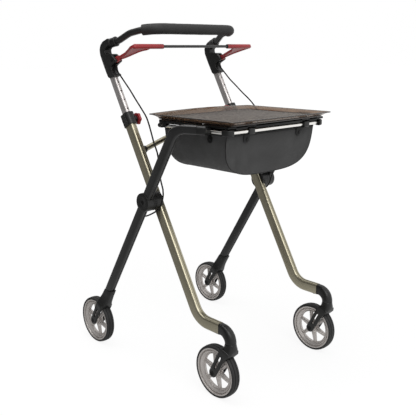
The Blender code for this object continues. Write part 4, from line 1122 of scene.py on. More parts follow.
cut(head, block("lever_slot", (0.0110, 0.0600, 0.0265), (TUBE_X, 0.1500, 0.9025)))
cut(head, swept("socket", section(0.0170, 0.0270, 0.0068), [tube_axis(0.83), tube_axis(0.8880)]))
both_sides(head, "dressed_head_{}", BLACK, "handle", ["handle_head_{}"], 35)
adjuster_profile = [
    (0.0026, -0.0090), (0.0036, -0.0086), (0.0036, -0.0040), (0.0046, -0.0036), (0.0046, 0.0050),
    (0.0026, 0.0050), (0.0026, -0.0090),
]
adjuster = turned("adjuster", adjuster_profile, (0, 0, 0), 24)
down = (Vector(cable_upper[1]) - Vector(cable_upper[0])).normalized()
placed(adjuster, cable_upper[0], Vector((-1, 0, 0)).rotation_difference(down).to_euler())
both_sides(adjuster, "cable_adjuster_{}", BLACK, "handle")
lever_pivot = Vector((0, 0.1655, 0.9005))
pivot_screw = screw("pivot_screw", lever_pivot + ACROSS * (TUBE_X + 0.0125), 0.0042)
both_sides(pivot_screw, "pivot_screw_{}", STEEL, "handle")
print("head", len(head.data.polygons), "faces")

# %% [markdown]
# ## Handle bar and foam grip
#
# One bent tube runs from head to head, and closed-cell foam covers its front. The foam tube is
# pushed on, so it follows the bends and ends in soft rounded edges. Its skin is slightly uneven,
# which a fine noise on the mesh gives; the foam's pores come from its material.

# %% Handle bar and grip
half_line = [
    handle_start,
    handle_exit,
    Vector((0.1830, 0.1270, 0.9765)),
    Vector((0.1716, 0.0863, 0.9842)),
    Vector((0.1440, 0.0485, 0.9875)),
]
other_half = [Vector((-point.x, point.y, point.z)) for point in half_line]
bend_radii = [0.03, 0.05, 0.05, 0.045]
handle_line = rounded_path(other_half + half_line[::-1], bend_radii + bend_radii[::-1])
handle_bar = swept("handle_bar", circle(0.0095, 32), handle_line)
finished(handle_bar, "dressed_handle_bar", COATED, "handle", ["handle_bar"])

GRIP_STEP = 0.006
grip_start = other_half[3]
first = min(range(len(handle_line)), key=lambda i: (handle_line[i] - grip_start).length)
bends = handle_line[first : len(handle_line) - first]
grip_line = []
for here, there in zip(bends, bends[1:]):
    pieces = max(1, round((there - here).length / GRIP_STEP))
    grip_line += [here.lerp(there, step / pieces) for step in range(pieces)]
grip_line.append(bends[-1])
grip = swept("grip", circle(0.0153, 40), grip_line)
bevelled(grip, 0.0035, 4, angle=50)
for vertex in grip.data.vertices:
    nearest = min(grip_line, key=lambda point: (point - vertex.co).length)
    outward = (vertex.co - nearest).normalized()
    vertex.co += outward * 0.00035 * noise.noise(vertex.co * 90)
finished(grip, "dressed_grip", (foam, "black_foam"), "handle", ["foam_grip"], 50)
print("grip", len(grip.data.polygons), "faces, over", round(len(grip_line) * GRIP_STEP, 2), "m")

# %% [markdown]
# ## Brake bar
#
# Two red levers and a rod between them make one bar, which a single hand can squeeze anywhere.
# Each lever is a moulded channel: a thin web with a rim on both faces, wide at the rod and narrow
# at the pivot. The outline is drawn in the lever's own sloping plane and made thick; then both
# faces are inset and pushed in, which leaves the rims standing.

# %% Brake levers
LEVER_THICKNESS = 0.0084
rod_middle = Vector((0, 0.0465, 0.9387))
forward = (rod_middle - lever_pivot).normalized()
upward = ACROSS.cross(forward)
lever_outline = [
    (-0.006, 0.2050), (-0.006, 0.2150), (0.030, 0.2150), (0.062, 0.2165), (0.092, 0.2260),
    (0.112, 0.2340), (0.124, 0.2345), (0.131, 0.2310), (0.131, 0.1680), (0.104, 0.1680),
    (0.097, 0.1780), (0.085, 0.1850), (0.060, 0.1900), (0.042, 0.1935), (0.026, 0.1990),
    (0.019, 0.2050),
]
low_pivot = lever_pivot - upward * LEVER_THICKNESS / 2
low_face = [low_pivot + forward * away + ACROSS * x for away, x in softened(lever_outline, 0.010)]
lever = slab("lever", low_face, upward * LEVER_THICKNESS)
for facing in (upward, -upward):
    pick(lever, "polygons", lambda face: face.normal.dot(facing) > 0.9 and face.area > 0.0005)
    bpy.ops.mesh.inset(thickness=0.0026, depth=-0.0030)
    done()
bevelled(lever, 0.0006, 2, angle=40)
root = block("root", (0.0100, 0.0260, 0.0150), (0, 0, 0))
root_place = lever_pivot + forward * 0.0110 + ACROSS * TUBE_X
placed(root, root_place, (-math.atan2(forward.z, -forward.y), 0, 0))
fused(lever, bevelled(root, 0.0018, 3))
sleeve = rod("sleeve", 0.0068, rod_middle + ACROSS * 0.128, rod_middle + ACROSS * 0.229)
fused(lever, bevelled(sleeve, 0.0014, 3, angle=60))
both_sides(lever, "dressed_lever_{}", RED, "brake_bar", ["brake_lever_{}"], 35)
ring_profile = [(0.0041, 0.1262), (0.0058, 0.1262), (0.0064, 0.1268), (0.0064, 0.1282), (0.0041, 0.1282)]
end_ring = turned("end_ring", ring_profile + ring_profile[:1], rod_middle, 32)
both_sides(end_ring, "rod_end_ring_{}", BLACK, "brake_bar")
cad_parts["brake_rod"].data.materials[0] = powder_coat
print("lever", len(lever.data.polygons), "faces")

# %% [markdown]
# ## Hubs
#
# A saddle on each side tube carries a bolt, and the leg turns on it. A round cap with a stepped
# face and a socket screw covers the bolt, and its skirt closes round the leg, so that the hub
# looks like one drum. Both are turned shapes. The saddle is then cut out to fit round the side
# tube, and the cap to let the leg through.

# %% Hub saddles and caps
HUB_AXIS = Vector((0, -0.0136, 0.5145))
saddle_profile = [
    (0.0053, 0.2080), (0.0258, 0.2080), (0.0270, 0.2092), (0.0270, 0.2296), (0.0262, 0.2304),
    (0.0262, 0.2312), (0.0268, 0.2320), (0.0266, 0.2398), (0.0258, 0.2407), (0.0053, 0.2407),
    (0.0053, 0.2080),
]
saddle = turned("saddle", saddle_profile, HUB_AXIS, 56)
cut(saddle, swept("tube_way", section(0.0214, 0.0332, 0.0067), [tube_axis(0.45), tube_axis(0.58)]))
both_sides(saddle, "dressed_saddle_{}", BLACK, "side_frames", ["hub_saddle_{}"])
cap_profile = [
    (0.0, 0.2624), (0.0062, 0.2624), (0.0068, 0.2632), (0.0085, 0.2634), (0.0125, 0.2641),
    (0.0150, 0.2645), (0.0178, 0.2645), (0.0184, 0.2639), (0.0196, 0.2639), (0.0202, 0.2645),
    (0.0250, 0.2643), (0.0266, 0.2634), (0.0270, 0.2605), (0.0268, 0.2418), (0.0260, 0.2410),
    (0.0050, 0.2410), (0.0050, 0.2230), (0.0, 0.2230),
]
cap = turned("cap", cap_profile, HUB_AXIS, 56)
cut(cap, swept("leg_way", section(0.0200, 0.0304, 0.0082), [leg_axis(0.45), leg_axis(0.58)]))
both_sides(cap, "dressed_hub_cap_{}", BLACK, "rear_frame", ["hub_cap_{}"])
hub_screw = screw("hub_screw", HUB_AXIS + ACROSS * 0.2627, 0.0056)
both_sides(hub_screw, "hub_screw_{}", STEEL, "rear_frame")
print("hub cap", len(cap.data.polygons), "faces")

# %% [markdown]
# ## Caster elbows and forks
#
# A moulded elbow is plugged into the front end of each side tube and turns down to a round seat,
# where the caster fork swivels. The fork starts round, widens into a hood over the wheel and
# splits in two arms, each with a see-through slot. Elbow and hood change their section on the
# way, so they are bridged over a stack of outlines; the arms are an outline made thick. A wheel
# sized rod then clears the space for the tyre.

# %% Caster elbows
SWIVEL = Vector((0.2095, -0.3115, 0.1735))
elbow_end = Vector((TUBE_X, -0.2750, LEVEL_Z))
elbow_rings = [
    superellipse(elbow_end, ACROSS, UP, 0.0100, 0.0150, 4.2),
    superellipse(elbow_end - BACK * 0.0006, ACROSS, UP, 0.0108, 0.0158, 4.2),
]
BEND_STEPS = 12
bend = LEVEL_Z - SWIVEL.z - 0.0003
for step in range(BEND_STEPS):
    share = step / BEND_STEPS
    wide = min(1, 1.3 * share)
    angle = math.pi / 2 * share
    x = TUBE_X + (SWIVEL.x - TUBE_X) * share
    middle = (x, SWIVEL.y + bend * (1 - math.sin(angle)), LEVEL_Z - bend * (1 - math.cos(angle)))
    deep = UP * math.cos(angle) - BACK * math.sin(angle)
    sizes = (0.0105 + 0.0052 * wide, 0.0155 + 0.0002 * share, 4.2 - 2.2 * wide)
    elbow_rings.append(superellipse(middle, ACROSS, deep, *sizes))
for high, radius in ((0.0018, 0.0157), (0.0003, 0.0146)):
    elbow_rings.append(superellipse(SWIVEL + UP * high, ACROSS, BACK, radius, radius, 2.0))
elbow = bevelled(bridged("elbow", elbow_rings), 0.0006, 2, angle=50)
both_sides(elbow, "dressed_elbow_{}", BLACK, "side_frames", ["caster_elbow_{}"], 40)
print("elbow", len(elbow.data.polygons), "faces")

# %% What both kinds of fork share
FORK_WIDTH = 0.042
TIP_RADIUS = 0.0130
GAP_RADIUS = 0.0790  # 4 mm more than the wheel's
GAP_WIDTH = 0.032
BOLT_SEAT_RADIUS = 0.0068


def leaning(lean):
    """The directions along an arm that leans forward, and square to it toward the back."""
    return Vector((0, -math.sin(lean), math.cos(lean))), Vector((0, math.cos(lean), math.sin(lean)))


def on_arm(wheel, up, back, behind, high):
    """The (y, z) of a point behind an arm's middle line and high up it from the axle."""
    point = wheel + back * behind + up * high
    return point.y, point.z


def arc_points(wheel, up, back, high, start, sweep, radius, steps):
    """Points on an arc round a point that is high up the arm."""
    points = []
    for step in range(steps + 1):
        angle = start + sweep * step / steps
        beside, above = radius * math.cos(angle), radius * math.sin(angle)
        points.append(on_arm(wheel, up, back, beside, high + above))
    return points


def fork_arms(wheel, up, back, upper):
    """Both arms as one thick plate, with a round tip below the points that are given."""
    outline = arc_points(wheel, up, back, 0.0, 0.0, -math.pi, TIP_RADIUS, 16) + upper
    return bevelled(plate("arms", outline, wheel.x, FORK_WIDTH), 0.0028, 3, angle=60)


def wheel_gap(wheel):
    """The space for the wheel between the arms."""
    half = ACROSS * GAP_WIDTH / 2
    return rod("gap", GAP_RADIUS, wheel - half, wheel + half, sides=96)


def arm_openings(fork, wheel, up, back, low, high, radius):
    """Cut the long slot through both arms, and the seats of the axle's bolt heads."""
    outline = arc_points(wheel, up, back, high, 0.0, math.pi, radius, 8)
    outline += arc_points(wheel, up, back, low, math.pi, math.pi, radius, 8)
    cut(fork, plate("slot", outline, wheel.x, 0.06))
    for outward in (-ACROSS, ACROSS):
        face = wheel + outward * FORK_WIDTH / 2
        cut(fork, rod("seat", BOLT_SEAT_RADIUS, face - outward * 0.0012, face + outward * 0.01, 32))


print("an upright arm's directions:", *leaning(0.0))

# %% Caster forks
arm_up, arm_back = leaning(math.radians(28.7))
front_edge = [on_arm(FRONT_WHEEL, arm_up, arm_back, -0.0140, 0.050), (-0.3080, 0.1270)]
hood = [(-0.3215, 0.1400), (-0.3230, 0.1500), (-0.2960, 0.1600)]
rear_edge = [on_arm(FRONT_WHEEL, arm_up, arm_back, 0.0135, 0.086)]
arms = fork_arms(FRONT_WHEEL, arm_up, arm_back, front_edge + hood + rear_edge)
stack = (
    (0.0, SWIVEL.z, 0.0146, 0.0146, 2.0),
    (0.0, SWIVEL.z - 0.0015, 0.0157, 0.0157, 2.0),
    (0.0002, 0.1700, 0.0159, 0.0158, 2.05),
    (0.0005, 0.1640, 0.0168, 0.0162, 2.3),
    (0.0018, 0.1575, 0.0186, 0.0172, 2.7),
    (0.0035, 0.1510, 0.0200, 0.0180, 3.2),
    (0.0058, 0.1450, 0.0207, 0.0178, 3.7),
    (0.0080, 0.1400, 0.0209, 0.0172, 4.0),
    (0.0125, 0.1300, 0.0206, 0.0145, 4.0),
)
crown_rings = [
    superellipse((SWIVEL.x, SWIVEL.y + y, z), ACROSS, BACK, wide, deep, power)
    for y, z, wide, deep, power in stack
]
fork = fused(bridged("fork", crown_rings), arms)
cut(fork, wheel_gap(FRONT_WHEEL))
arm_openings(fork, FRONT_WHEEL, arm_up, arm_back, 0.022, 0.064, 0.0036)
both_sides(fork, "dressed_caster_fork_{}", BLACK, "caster_{}", ["caster_fork_{}"], 38)
seam_profile = [(0.0138, -0.0006), (0.0144, -0.0006), (0.0144, 0.0006), (0.0138, 0.0006)]
seam = turned("swivel_seam", seam_profile + seam_profile[:1], (0, 0, 0), 48)
placed(seam, SWIVEL, (0, math.radians(90), 0))
both_sides(seam, "swivel_seam_{}", STEEL, "side_frames")
print("caster fork", len(fork.data.polygons), "faces")

# %% Axle bolts
for row, place, body in (("front", FRONT_WHEEL, "caster_{}"), ("rear", REAR_WHEEL, "rear_frame")):
    outer = screw("axle_bolt", place + ACROSS * (FORK_WIDTH / 2 - 0.0008), 0.0052)
    inner = placed(mirrored(outer, "inner"), ACROSS * 2 * place.x)
    bolt = joined([outer, inner], "axle_bolt")
    both_sides(bolt, row + "_axle_bolt_{}", STEEL, body)
    print(bolt.name, len(bolt.data.polygons), "faces")

# %% [markdown]
# ## Rear forks
#
# The rear fork is a sleeve on the foot of the leg that widens over the wheel, with a brake shoe
# between its arms. It is made in the same way as the caster fork, with its outlines stacked
# along the leaning leg. The top of its sleeve is cut off level.

# %% Rear forks
leg_up, leg_back = leaning(LEG_LEAN)
edge = [(0.0145, 0.056), (0.0160, 0.070), (0.0150, 0.082)]
around = [(-0.0130, 0.034)] + [(-behind, high) for behind, high in edge] + edge[::-1]
upper_arm = [on_arm(REAR_WHEEL, leg_up, leg_back, behind, high) for behind, high in around]
arms = fork_arms(REAR_WHEEL, leg_up, leg_back, upper_arm)
leg_offset = LEG_X - REAR_WHEEL.x
stack = (
    (0.1530, leg_offset, 0.0119, 0.0169, 4.2),
    (0.1290, leg_offset, 0.0121, 0.0171, 4.2),
    (0.1180, leg_offset, 0.0128, 0.0176, 4.0),
    (0.1080, leg_offset * 0.8, 0.0138, 0.0182, 3.8),
    (0.1000, leg_offset * 0.5, 0.0151, 0.0186, 3.8),
    (0.0920, leg_offset * 0.2, 0.0170, 0.0188, 3.8),
    (0.0850, 0.0, 0.0192, 0.0186, 4.4),
    (0.0780, 0.0, 0.0206, 0.0180, 5.2),
    (0.0700, 0.0, 0.0211, 0.0168, 6.0),
)
sleeve_rings = [
    superellipse(REAR_WHEEL + ACROSS * shift + leg_up * high, ACROSS, leg_back, wide, deep, power)
    for high, shift, wide, deep, power in stack
]
rear_fork = bridged("rear_fork", sleeve_rings)
cut(rear_fork, block("above", (0.06, 0.10, 0.040), leg_axis(0.2168)))
fused(bevelled(rear_fork, 0.0006, 2, angle=50), arms)
leg_room = swept("leg_room", section(0.0206, 0.0306, 0.0083), [leg_axis(0.1648), leg_axis(0.30)])
shoe_room = block("shoe_room", (0.0192, 0.0152, 0.0400), (0, 0, 0))
placed(shoe_room, REAR_WHEEL + leg_up * 0.0751, (LEG_LEAN, 0, 0))
cut(rear_fork, leg_room, wheel_gap(REAR_WHEEL), shoe_room)
arm_openings(rear_fork, REAR_WHEEL, leg_up, leg_back, 0.021, 0.052, 0.0034)
both_sides(rear_fork, "dressed_rear_fork_{}", BLACK, "rear_frame", ["rear_fork_{}"], 38)
for side in ("l", "r"):
    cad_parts[f"brake_shoe_{side}"].data.materials[0] = tyre_rubber
print("rear fork", len(rear_fork.data.polygons), "faces")

# %% [markdown]
# ## Rails and their fittings
#
# The tray and the basket hang on three chromed rods: one along each side and one in front. Black
# corner blocks join them, and a bracket on the end of each leg holds them. A rod is a cylinder
# with rounded ends, a corner block is a squarish outline swept round the bend, and a bracket is
# the plug in the leg's end with an arm that grips the rail. A turned cap closes the rear end of
# each side rail.

# %% Rails, corners and brackets
RAIL_Z = 0.7245
SIDE_RAIL_X = 0.186
FRONT_RAIL_Y = -0.2785
RAIL_RADIUS = 0.0051
BORE_RADIUS = 0.0054
SIDE_RAIL_END = Vector((SIDE_RAIL_X, -0.0051, RAIL_Z))
front_ends = ((-0.1760, FRONT_RAIL_Y, RAIL_Z), (0.1785, FRONT_RAIL_Y, RAIL_Z))
front_rail = rod("front_rail", RAIL_RADIUS, *front_ends, 40)
bevelled(front_rail, 0.0010, 2, angle=60)
finished(front_rail, "dressed_front_rail", CHROME, "rear_frame", ["front_rail"])
side_rail = rod("side_rail", RAIL_RADIUS, (SIDE_RAIL_X, -0.2680, RAIL_Z), SIDE_RAIL_END, 40)
bevelled(side_rail, 0.0010, 2, angle=60)
both_sides(side_rail, "dressed_side_rail_{}", CHROME, "rear_frame", ["side_rail_{}"])

corner_at = Vector((SIDE_RAIL_X, FRONT_RAIL_Y, RAIL_Z))
corner_points = [corner_at - ACROSS * 0.0125, corner_at, corner_at + BACK * 0.0165]
elbow_line = rounded_path(corner_points, [0.0090])
corner = swept("corner", section(0.0170, 0.0172, 0.0042), elbow_line)
bevelled(corner, 0.0012, 2, angle=50)
for end, way in ((elbow_line[0], -ACROSS), (elbow_line[-1], BACK)):
    cut(corner, rod("mouth", BORE_RADIUS + 0.0006, end - way * 0.0030, end + way * 0.01, 32))
both_sides(corner, "dressed_rail_corner_{}", BLACK, "rear_frame", ["rail_corner_{}"])

heading = (leg_end - leg_axis(LEG_BEND_Z)).normalized()
plug_middle = leg_end - UP * 0.0033
plug_line = [plug_middle - heading * 0.006, plug_middle + heading * 0.0240]
plug = bevelled(swept("plug", section(0.0186, 0.0228, 0.0070), plug_line), 0.0030, 4, angle=60)
arm = bevelled(block("arm", (0.0365, 0.0120, 0.0156), (0.1983, -0.2110, 0.7230)), 0.0026, 3)
cut(arm, rod("bore", BORE_RADIUS, (SIDE_RAIL_X, -0.29, RAIL_Z), (SIDE_RAIL_X, -0.18, RAIL_Z)))
bracket = fused(arm, plug)
both_sides(bracket, "dressed_bracket_{}", BLACK, "rear_frame", ["rail_bracket_{}"], 38)
rail_cap_profile = [
    (0.0, 0.0042), (0.0046, 0.0040), (0.0060, 0.0030), (0.0066, 0.0), (0.0066, -0.0100),
    (0.0059, -0.0104),
]
rail_cap = turned("rail_cap", rail_cap_profile, (0, 0, 0), 32)
edit_all(rail_cap)
bpy.ops.mesh.fill_holes(sides=0)
done()
placed(rail_cap, SIDE_RAIL_END, (0, 0, math.radians(90)))
both_sides(close_skin(rail_cap), "rail_cap_{}", BLACK, "rear_frame")
print("bracket", len(bracket.data.polygons), "faces")

# %% [markdown]
# ## Tray and mat
#
# The tray is a shallow moulded dish with a flared rim. Rounded rectangles are stacked from the
# underside out to the lip and back down to the floor inside, and a skin is bridged over them.
# The rear side of the rim bows up by 4 mm, which leaves room for the fingers that lift the tray.
# Its rolled rim and the edge of its floor are so deep in plastic that they look black, so a bead
# of darker material runs along each. Four snap clips sit on the side rails. The gap between the
# tray and the rails lies in shade, and black strips there paint that shade; they leave room for
# the basket's clips below them. The non-slip mat is a thin slab with rounded corners, whose
# pebbles come from its material.


# %% Tray
def tray_outline(half_width, front, rear, corner, z):
    """A rounded rectangle at a height. Up at the rim its rear side bows upward."""
    middle = (front + rear) / 2
    corners = [(x, middle + y) for x, y in section(2 * half_width, rear - front, corner, steps=8)]
    bow = 0.0040 * min(1, max(0, (z - 0.7460) / 0.0075))
    ring = []
    for (x, y), (next_x, next_y) in zip(corners, corners[1:] + corners[:1]):
        ring.append((x, y, z))
        if min(y, next_y) > rear - 0.0002 and abs(next_x - x) > 0.1:
            for step in range(1, 16):
                along = x + (next_x - x) * step / 16
                ring.append((along, rear, z + bow * math.sin(math.pi * step / 16)))
    return ring


tray_sizes = (
    (0.1800, -0.2860, 0.0080, 0.019, 0.7405),
    (0.1822, -0.2882, 0.0102, 0.020, 0.7412),
    (0.1850, -0.2909, 0.0130, 0.019, 0.7440),
    (0.1925, -0.2982, 0.0202, 0.016, 0.7495),
    (0.1985, -0.3041, 0.0261, 0.013, 0.7527),
    (0.2015, -0.3070, 0.0290, 0.012, 0.7533),
    (0.2025, -0.3080, 0.0300, 0.012, 0.7545),
    (0.2019, -0.3074, 0.0294, 0.012, 0.7554),
    (0.1992, -0.3047, 0.0267, 0.011, 0.7555),
    (0.1962, -0.3018, 0.0238, 0.011, 0.7545),
    (0.1900, -0.2957, 0.0177, 0.014, 0.7508),
    (0.1822, -0.2882, 0.0100, 0.017, 0.7450),
    (0.1800, -0.2860, 0.0078, 0.018, 0.7432),
    (0.1785, -0.2846, 0.0063, 0.017, 0.7429),
)
tray = bridged("tray", [tray_outline(*size) for size in tray_sizes])
finished(tray, "dressed_tray", (smoked, "smoked_tray"), "tray", ["tray"], 35)
for name, radius, size in (
    ("tray_rolled_rim", 0.0015, (0.2012, -0.3067, 0.0287, 0.0115, 0.7541)),
    ("tray_floor_edge", 0.0019, (0.1846, -0.2905, 0.0126, 0.0190, 0.7432)),
):
    line = [Vector(point) for point in tray_outline(*size)]
    bead = swept("bead", circle(radius, 10), line + line[:2], "MINIMUM")
    finished(bead, name, (smoked_edge, "smoked_tray"), "tray", smooth=60)
print("tray", len(tray.data.polygons), "faces")

# %% Clips, and black strips that paint the shade under the tray
clips = []
for side in (-1, 1):
    for y in (-0.030, -0.114):
        clip = bevelled(block("clip", (0.0165, 0.0140, 0.0200), (side * 0.18572, y, 0.7300)), 0.0012, 2)
        channel = block("channel", (0.0120, 0.03, 0.02), (side * SIDE_RAIL_X, y, 0.7203))
        clips.append(cut(clip, channel))
# The strips are painted shade: black blocks that fill the shaded gap between the tray and the rails.
DEEP, SHALLOW = (0.0098, 0.7361), (0.0062, 0.7379)  # a strip's height, and its middle's height
SHADE_STRIP_WIDTH = 0.0130  # its width
FRONT_SHADE_STRIP_Y = -0.2775
shade_strips = []
for x, long in ((-0.1425, 0.044), (0.0035, 0.190), (0.1473, 0.0375)):
    shade_strips.append((long, SHADE_STRIP_WIDTH, x, FRONT_SHADE_STRIP_Y, DEEP))
shade_strips.append((0.384, SHADE_STRIP_WIDTH, 0.0, FRONT_SHADE_STRIP_Y, SHALLOW))
for side in (-1, 1):
    shade_strips.append((SHADE_STRIP_WIDTH, 0.1690, side * SIDE_RAIL_X, -0.0925, DEEP))
    shade_strips.append((SHADE_STRIP_WIDTH, 0.0880, side * SIDE_RAIL_X, -0.228, SHALLOW))
for wide, long, x, y, (thick, middle) in shade_strips:
    clips.append(bevelled(block("shade_strip", (wide, long, thick), (x, y, middle)), 0.0018, 3))
clips = joined(clips, "clips")
finished(clips, "tray_clips_and_shade_strips", (cable_sheath, "smoked_tray"), "tray", smooth=30)
print("clips and strips", len(clips.data.polygons), "faces")

# %% Mat
mat_sizes = (
    (0.1755, -0.2815, 0.0035, 0.0155, 0.74331),
    (0.1760, -0.2820, 0.0040, 0.0160, 0.74370),
    (0.1760, -0.2820, 0.0040, 0.0160, 0.74480),
    (0.1752, -0.2812, 0.0032, 0.0152, 0.74530),
)
mat = bridged("mat", [tray_outline(*size) for size in mat_sizes])
finished(mat, "dressed_mat", (pebbled, "tray_mat"), "tray", ["tray_mat"], 40)
print("mat", len(mat.data.polygons), "faces")

# %% [markdown]
# ## Basket
#
# The basket is one open shell sewn from a sling and two end panels. The sling is the U that hangs
# between the side rails; its outline is a superellipse, squarer than an ellipse. Each end panel
# fills the U and leans in at its foot. The shell is drawn as a grid of points whose rows run down
# the front panel, along the sling and up the rear panel. A grid primitive is moved to those
# places, so the seams fall on its edge rows, and its UV map is the flat cut in metres. Then it
# sags: the sides belly in between the corners, the top edge droops between the rails' ends, and
# noise gives the shallow creases that run from the corners.

# %% Basket shell
BASKET_TOP = 0.7165
BASKET_LOW = 0.5985
BASKET_FRONT = -0.2590
BASKET_REAR = -0.0125
BASKET_HALF_WIDTH = 0.1755
BASKET_MIDDLE_X = 0.002
BASKET_POWER = 3.4  # of the superellipse
PANEL_LEAN = 0.0160  # how far a panel's foot stands in from its top
ACROSS_STEPS = 56
PANEL_STEPS = 14
SLING_STEPS = 34


def basket_outline(share):
    """The U's (x, z) at a share of its way from the right top edge to the left one."""
    angle = math.pi * (1 + share)
    c, s = math.cos(angle), math.sin(angle)
    x = math.copysign(abs(c) ** (2 / BASKET_POWER), c) * BASKET_HALF_WIDTH + BASKET_MIDDLE_X
    return x, BASKET_TOP - abs(s) ** (2 / BASKET_POWER) * (BASKET_TOP - BASKET_LOW)


def panel_lean(z):
    """How far the end panels lean in at a height."""
    return PANEL_LEAN * (BASKET_TOP - z) / (BASKET_TOP - BASKET_LOW)


def crease(x, y, z):
    """How far the cloth moves inward at a point: soft bellies and shallow creases."""
    height = (z - BASKET_LOW) / (BASKET_TOP - BASKET_LOW)
    place = Vector((x * 9, y * 9, z * 16))
    folds = noise.noise(place + Vector((3.1, 0.4, 1.7))) * 0.0022
    fine = noise.noise(Vector((x * 40, y * 40, z * 22))) * 0.0007
    return folds + fine + 0.0012 * math.sin(math.pi * min(1, max(0, height)))


def basket_point(share, row):
    """A point of the shell. Rows below 0 are the front panel, then come the sling and the rear."""
    x, z = basket_outline(share)
    inside = math.sin(math.pi * share)
    if 0 <= row <= SLING_STEPS:
        way = row / SLING_STEPS
        bow = math.sin(math.pi * way)
        front, rear = BASKET_FRONT + panel_lean(z), BASKET_REAR - panel_lean(z)
        y = front + (rear - front) * way
        pull = abs((crease(x, y, z) + 0.0030 * bow * (1 - inside)) * bow)
        steep = abs(math.cos(math.pi * share)) ** 0.6
        x -= math.copysign(steep * pull, x)
        z += (1 - steep) * pull * 0.8
        if share in (0, 1):
            z -= 0.0035 * bow**2
        return Vector((x, y, z))
    up = (-row if row < 0 else row - SLING_STEPS) / PANEL_STEPS
    top = BASKET_TOP - 0.0030 * inside**2
    high = z + (top - z) * up
    belly = abs(crease(x, 0.5, high)) * 1.6 * inside * math.sin(math.pi * min(1, up * 0.9 + 0.1))
    inward = panel_lean(high) + belly
    y = BASKET_FRONT + inward if row < 0 else BASKET_REAR - inward
    return Vector((x, y, high))


rows = list(range(-PANEL_STEPS, SLING_STEPS + PANEL_STEPS + 1))
bpy.ops.object.select_all(action="DESELECT")
bpy.ops.mesh.primitive_grid_add(x_subdivisions=ACROSS_STEPS, y_subdivisions=len(rows) - 1, size=2)
basket = bpy.context.active_object
basket.name = "basket"
shares = [step / ACROSS_STEPS for step in range(ACROSS_STEPS + 1)]
u_line = [Vector(basket_outline(share)) for share in shares]
flat_width = sum((after - before).length for before, after in zip(u_line, u_line[1:]))
flat_length = (BASKET_REAR - BASKET_FRONT) + 2 * (BASKET_TOP - BASKET_LOW)
for loop in basket.data.uv_layers.active.data:
    loop.uv = (loop.uv.x * flat_width, loop.uv.y * flat_length)
for vertex in basket.data.vertices:
    share = round((vertex.co.x + 1) / 2 * ACROSS_STEPS) / ACROSS_STEPS
    row = rows[round((vertex.co.y + 1) / 2 * (len(rows) - 1))]
    vertex.co = basket_point(share, row)
close_skin(basket, 0.0002)
modified(basket, "SOLIDIFY", thickness=0.0014, offset=0)
print("basket", len(basket.data.polygons), "faces; cut", (round(flat_width, 3), round(flat_length, 3)))

# %% [markdown]
# A folded hem of webbing binds the top edge all the way round, and thin piping covers the seams
# between the sling and the end panels. At the front, two tabs of webbing go up to the clips on the
# rail, each closed by a snap on a round seat. Each side of the cloth has a snap of its own.


# %% Hem and piping
def metre_map(piece, along, across):
    """Lay a UV map in metres on the piece: one direction along it and one across."""
    mapped = piece.data.uv_layers.active or piece.data.uv_layers.new(name="metres")
    for polygon in piece.data.polygons:
        for corner in polygon.loop_indices:
            co = piece.data.vertices[piece.data.loops[corner].vertex_index].co
            mapped.data[corner].uv = (co.dot(along), co.dot(across))
    return piece


rear_row = SLING_STEPS + PANEL_STEPS
rim_line = [basket_point(share, -PANEL_STEPS) for share in shares]
rim_line += [basket_point(1, row) for row in range(1, SLING_STEPS)]
rim_line += [basket_point(share, rear_row) for share in reversed(shares)]
rim_line += [basket_point(0, row) for row in range(SLING_STEPS - 1, 0, -1)]
rim_line = [point - UP * 0.0050 for point in rim_line]
hem = drawn("hem", rim_line, closed=True)
edit_all(hem)
pushed((0, 0, 0.0060))
metre_map(done(), ACROSS + BACK, UP)
bevelled(modified(hem, "SOLIDIFY", thickness=0.0026, offset=0), 0.0007, 2, angle=60)

seams = []
for row in (0, SLING_STEPS):
    line = [basket_point(share, row) for share in shares]
    line = [p for i, p in enumerate(line) if i == 0 or (p - line[i - 1]).length > 0.0001]
    seams.append(swept("piping", circle(0.0012, 10), line))
piping = joined(seams, "piping")
print("hem", len(hem.data.polygons), "faces; piping", len(piping.data.polygons))


# %% Tabs and snaps
def tab(name, x, top, bottom, width):
    """A flat strap end against the basket's front, rounded at its foot."""
    half = width / 2
    outline = [(x - half, top), (x - half, bottom + half)]
    for step in range(1, 12):
        angle = math.pi * (1 + step / 12)
        outline.append((x + half * math.cos(angle), bottom + half + half * math.sin(angle)))
    outline += [(x + half, bottom + half), (x + half, top)]
    points = [(px, BASKET_FRONT - 0.0012 + panel_lean(pz), pz) for px, pz in outline]
    piece = bevelled(slab(name, points, (0, -0.0042, 0)), 0.0009, 2)
    return metre_map(piece, ACROSS, UP)


SNAP_DOME = ((0.0, 0.0009), (0.35, 0.0010), (0.45, 0.0014), (0.75, 0.0016))
SNAP_EDGE = ((0.93, 0.0012), (1.0, 0.0006), (0.95, 0.0), (0.0, 0.0))


def snap(name, place, radius, outward):
    """A press stud: a domed cap with a rolled edge and a dimple."""
    profile = [(radius * share, high) for share, high in SNAP_DOME + SNAP_EDGE]
    stud = turned(name, profile, (0, 0, 0), 28)
    return placed(stud, place, ACROSS.rotation_difference(outward).to_euler())


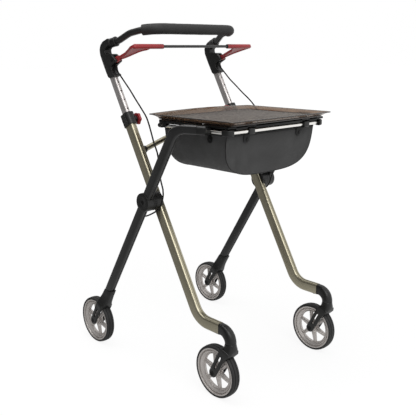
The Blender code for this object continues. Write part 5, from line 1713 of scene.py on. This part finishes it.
TAB_XS = (-0.1010, 0.1115)
FRONT_SNAP_Z = 0.7000
side_snap = Vector((BASKET_MIDDLE_X, -0.1960, 0.7010))
straps = joined([tab("tab", x, BASKET_TOP, 0.6895, 0.0240) for x in TAB_XS], "basket_straps")
seats, snaps = [], []
for x in TAB_XS:
    seats.append(snap("seat", (x, BASKET_FRONT - 0.0030, FRONT_SNAP_Z), 0.0072, -BACK))
    snaps.append(snap("snap", (x, BASKET_FRONT - 0.0044, FRONT_SNAP_Z), 0.0044, -BACK))
for outward in (-ACROSS, ACROSS):
    for reach, radius in ((0.1750, 0.0104), (0.1764, 0.0044)):
        seats.append(snap("seat", side_snap + outward * reach, radius, outward))
seats = joined(seats, "basket_snap_seats")
snaps = joined(snaps, "basket_snaps")
print("tabs", len(straps.data.polygons), "faces; snaps", len(snaps.data.polygons))

# %% [markdown]
# The basket and all that is sewn on it ride on the rear frame. On the real rollator the cloth gives
# when the frame folds; here it keeps its shape.

# %% Finish the basket
cloth_nodes = ["basket", "basket_rear"]
finished(basket, "dressed_basket", (cloth, "basket_fabric"), "rear_frame", cloth_nodes, 60)
for piece, name, material, smooth in (
    (hem, "basket_hem", webbing, 50),
    (piping, "basket_piping", cable_sheath, 60),
    (straps, "basket_straps", webbing, 30),
    (seats, "basket_snap_seats", cable_sheath, 40),
    (snaps, "basket_snaps", black_steel, 40),
):
    finished(piece, name, (material, "basket_fabric"), "rear_frame", smooth=smooth)
for piece in (basket, hem, piping, straps, seats, snaps):
    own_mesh(piece)
print("basket finished as", basket.name)

# %% [markdown]
# The clips that grip the front rail are moulded blocks, bored for the rail and grooved on top.
# Each sits above its tab, and the right one is a little nearer to the middle.

# %% Basket clips
rail_clip = block("rail_clip", (0.0225, 0.0185, 0.0175), (0.1150, FRONT_RAIL_Y, RAIL_Z))
bevelled(rail_clip, 0.0030, 3)
cut(rail_clip, rod("bore", BORE_RADIUS, (0.070, FRONT_RAIL_Y, RAIL_Z), (0.140, FRONT_RAIL_Y, RAIL_Z)))
for x in (0.1095, 0.1205):
    cut(rail_clip, block("groove", (0.0016, 0.0300, 0.0030), (x, FRONT_RAIL_Y, RAIL_Z + 0.0090)))
other_clip = mirrored(rail_clip, "other_clip")
other_clip.location.x = 0.0075
for clip, side in ((rail_clip, "l"), (other_clip, "r")):
    name, stands_for = f"dressed_basket_clip_{side}", [f"basket_clip_{side}"]
    finished(clip, name, BLACK, "rear_frame", stands_for)
print("rail clip", len(rail_clip.data.polygons), "faces")
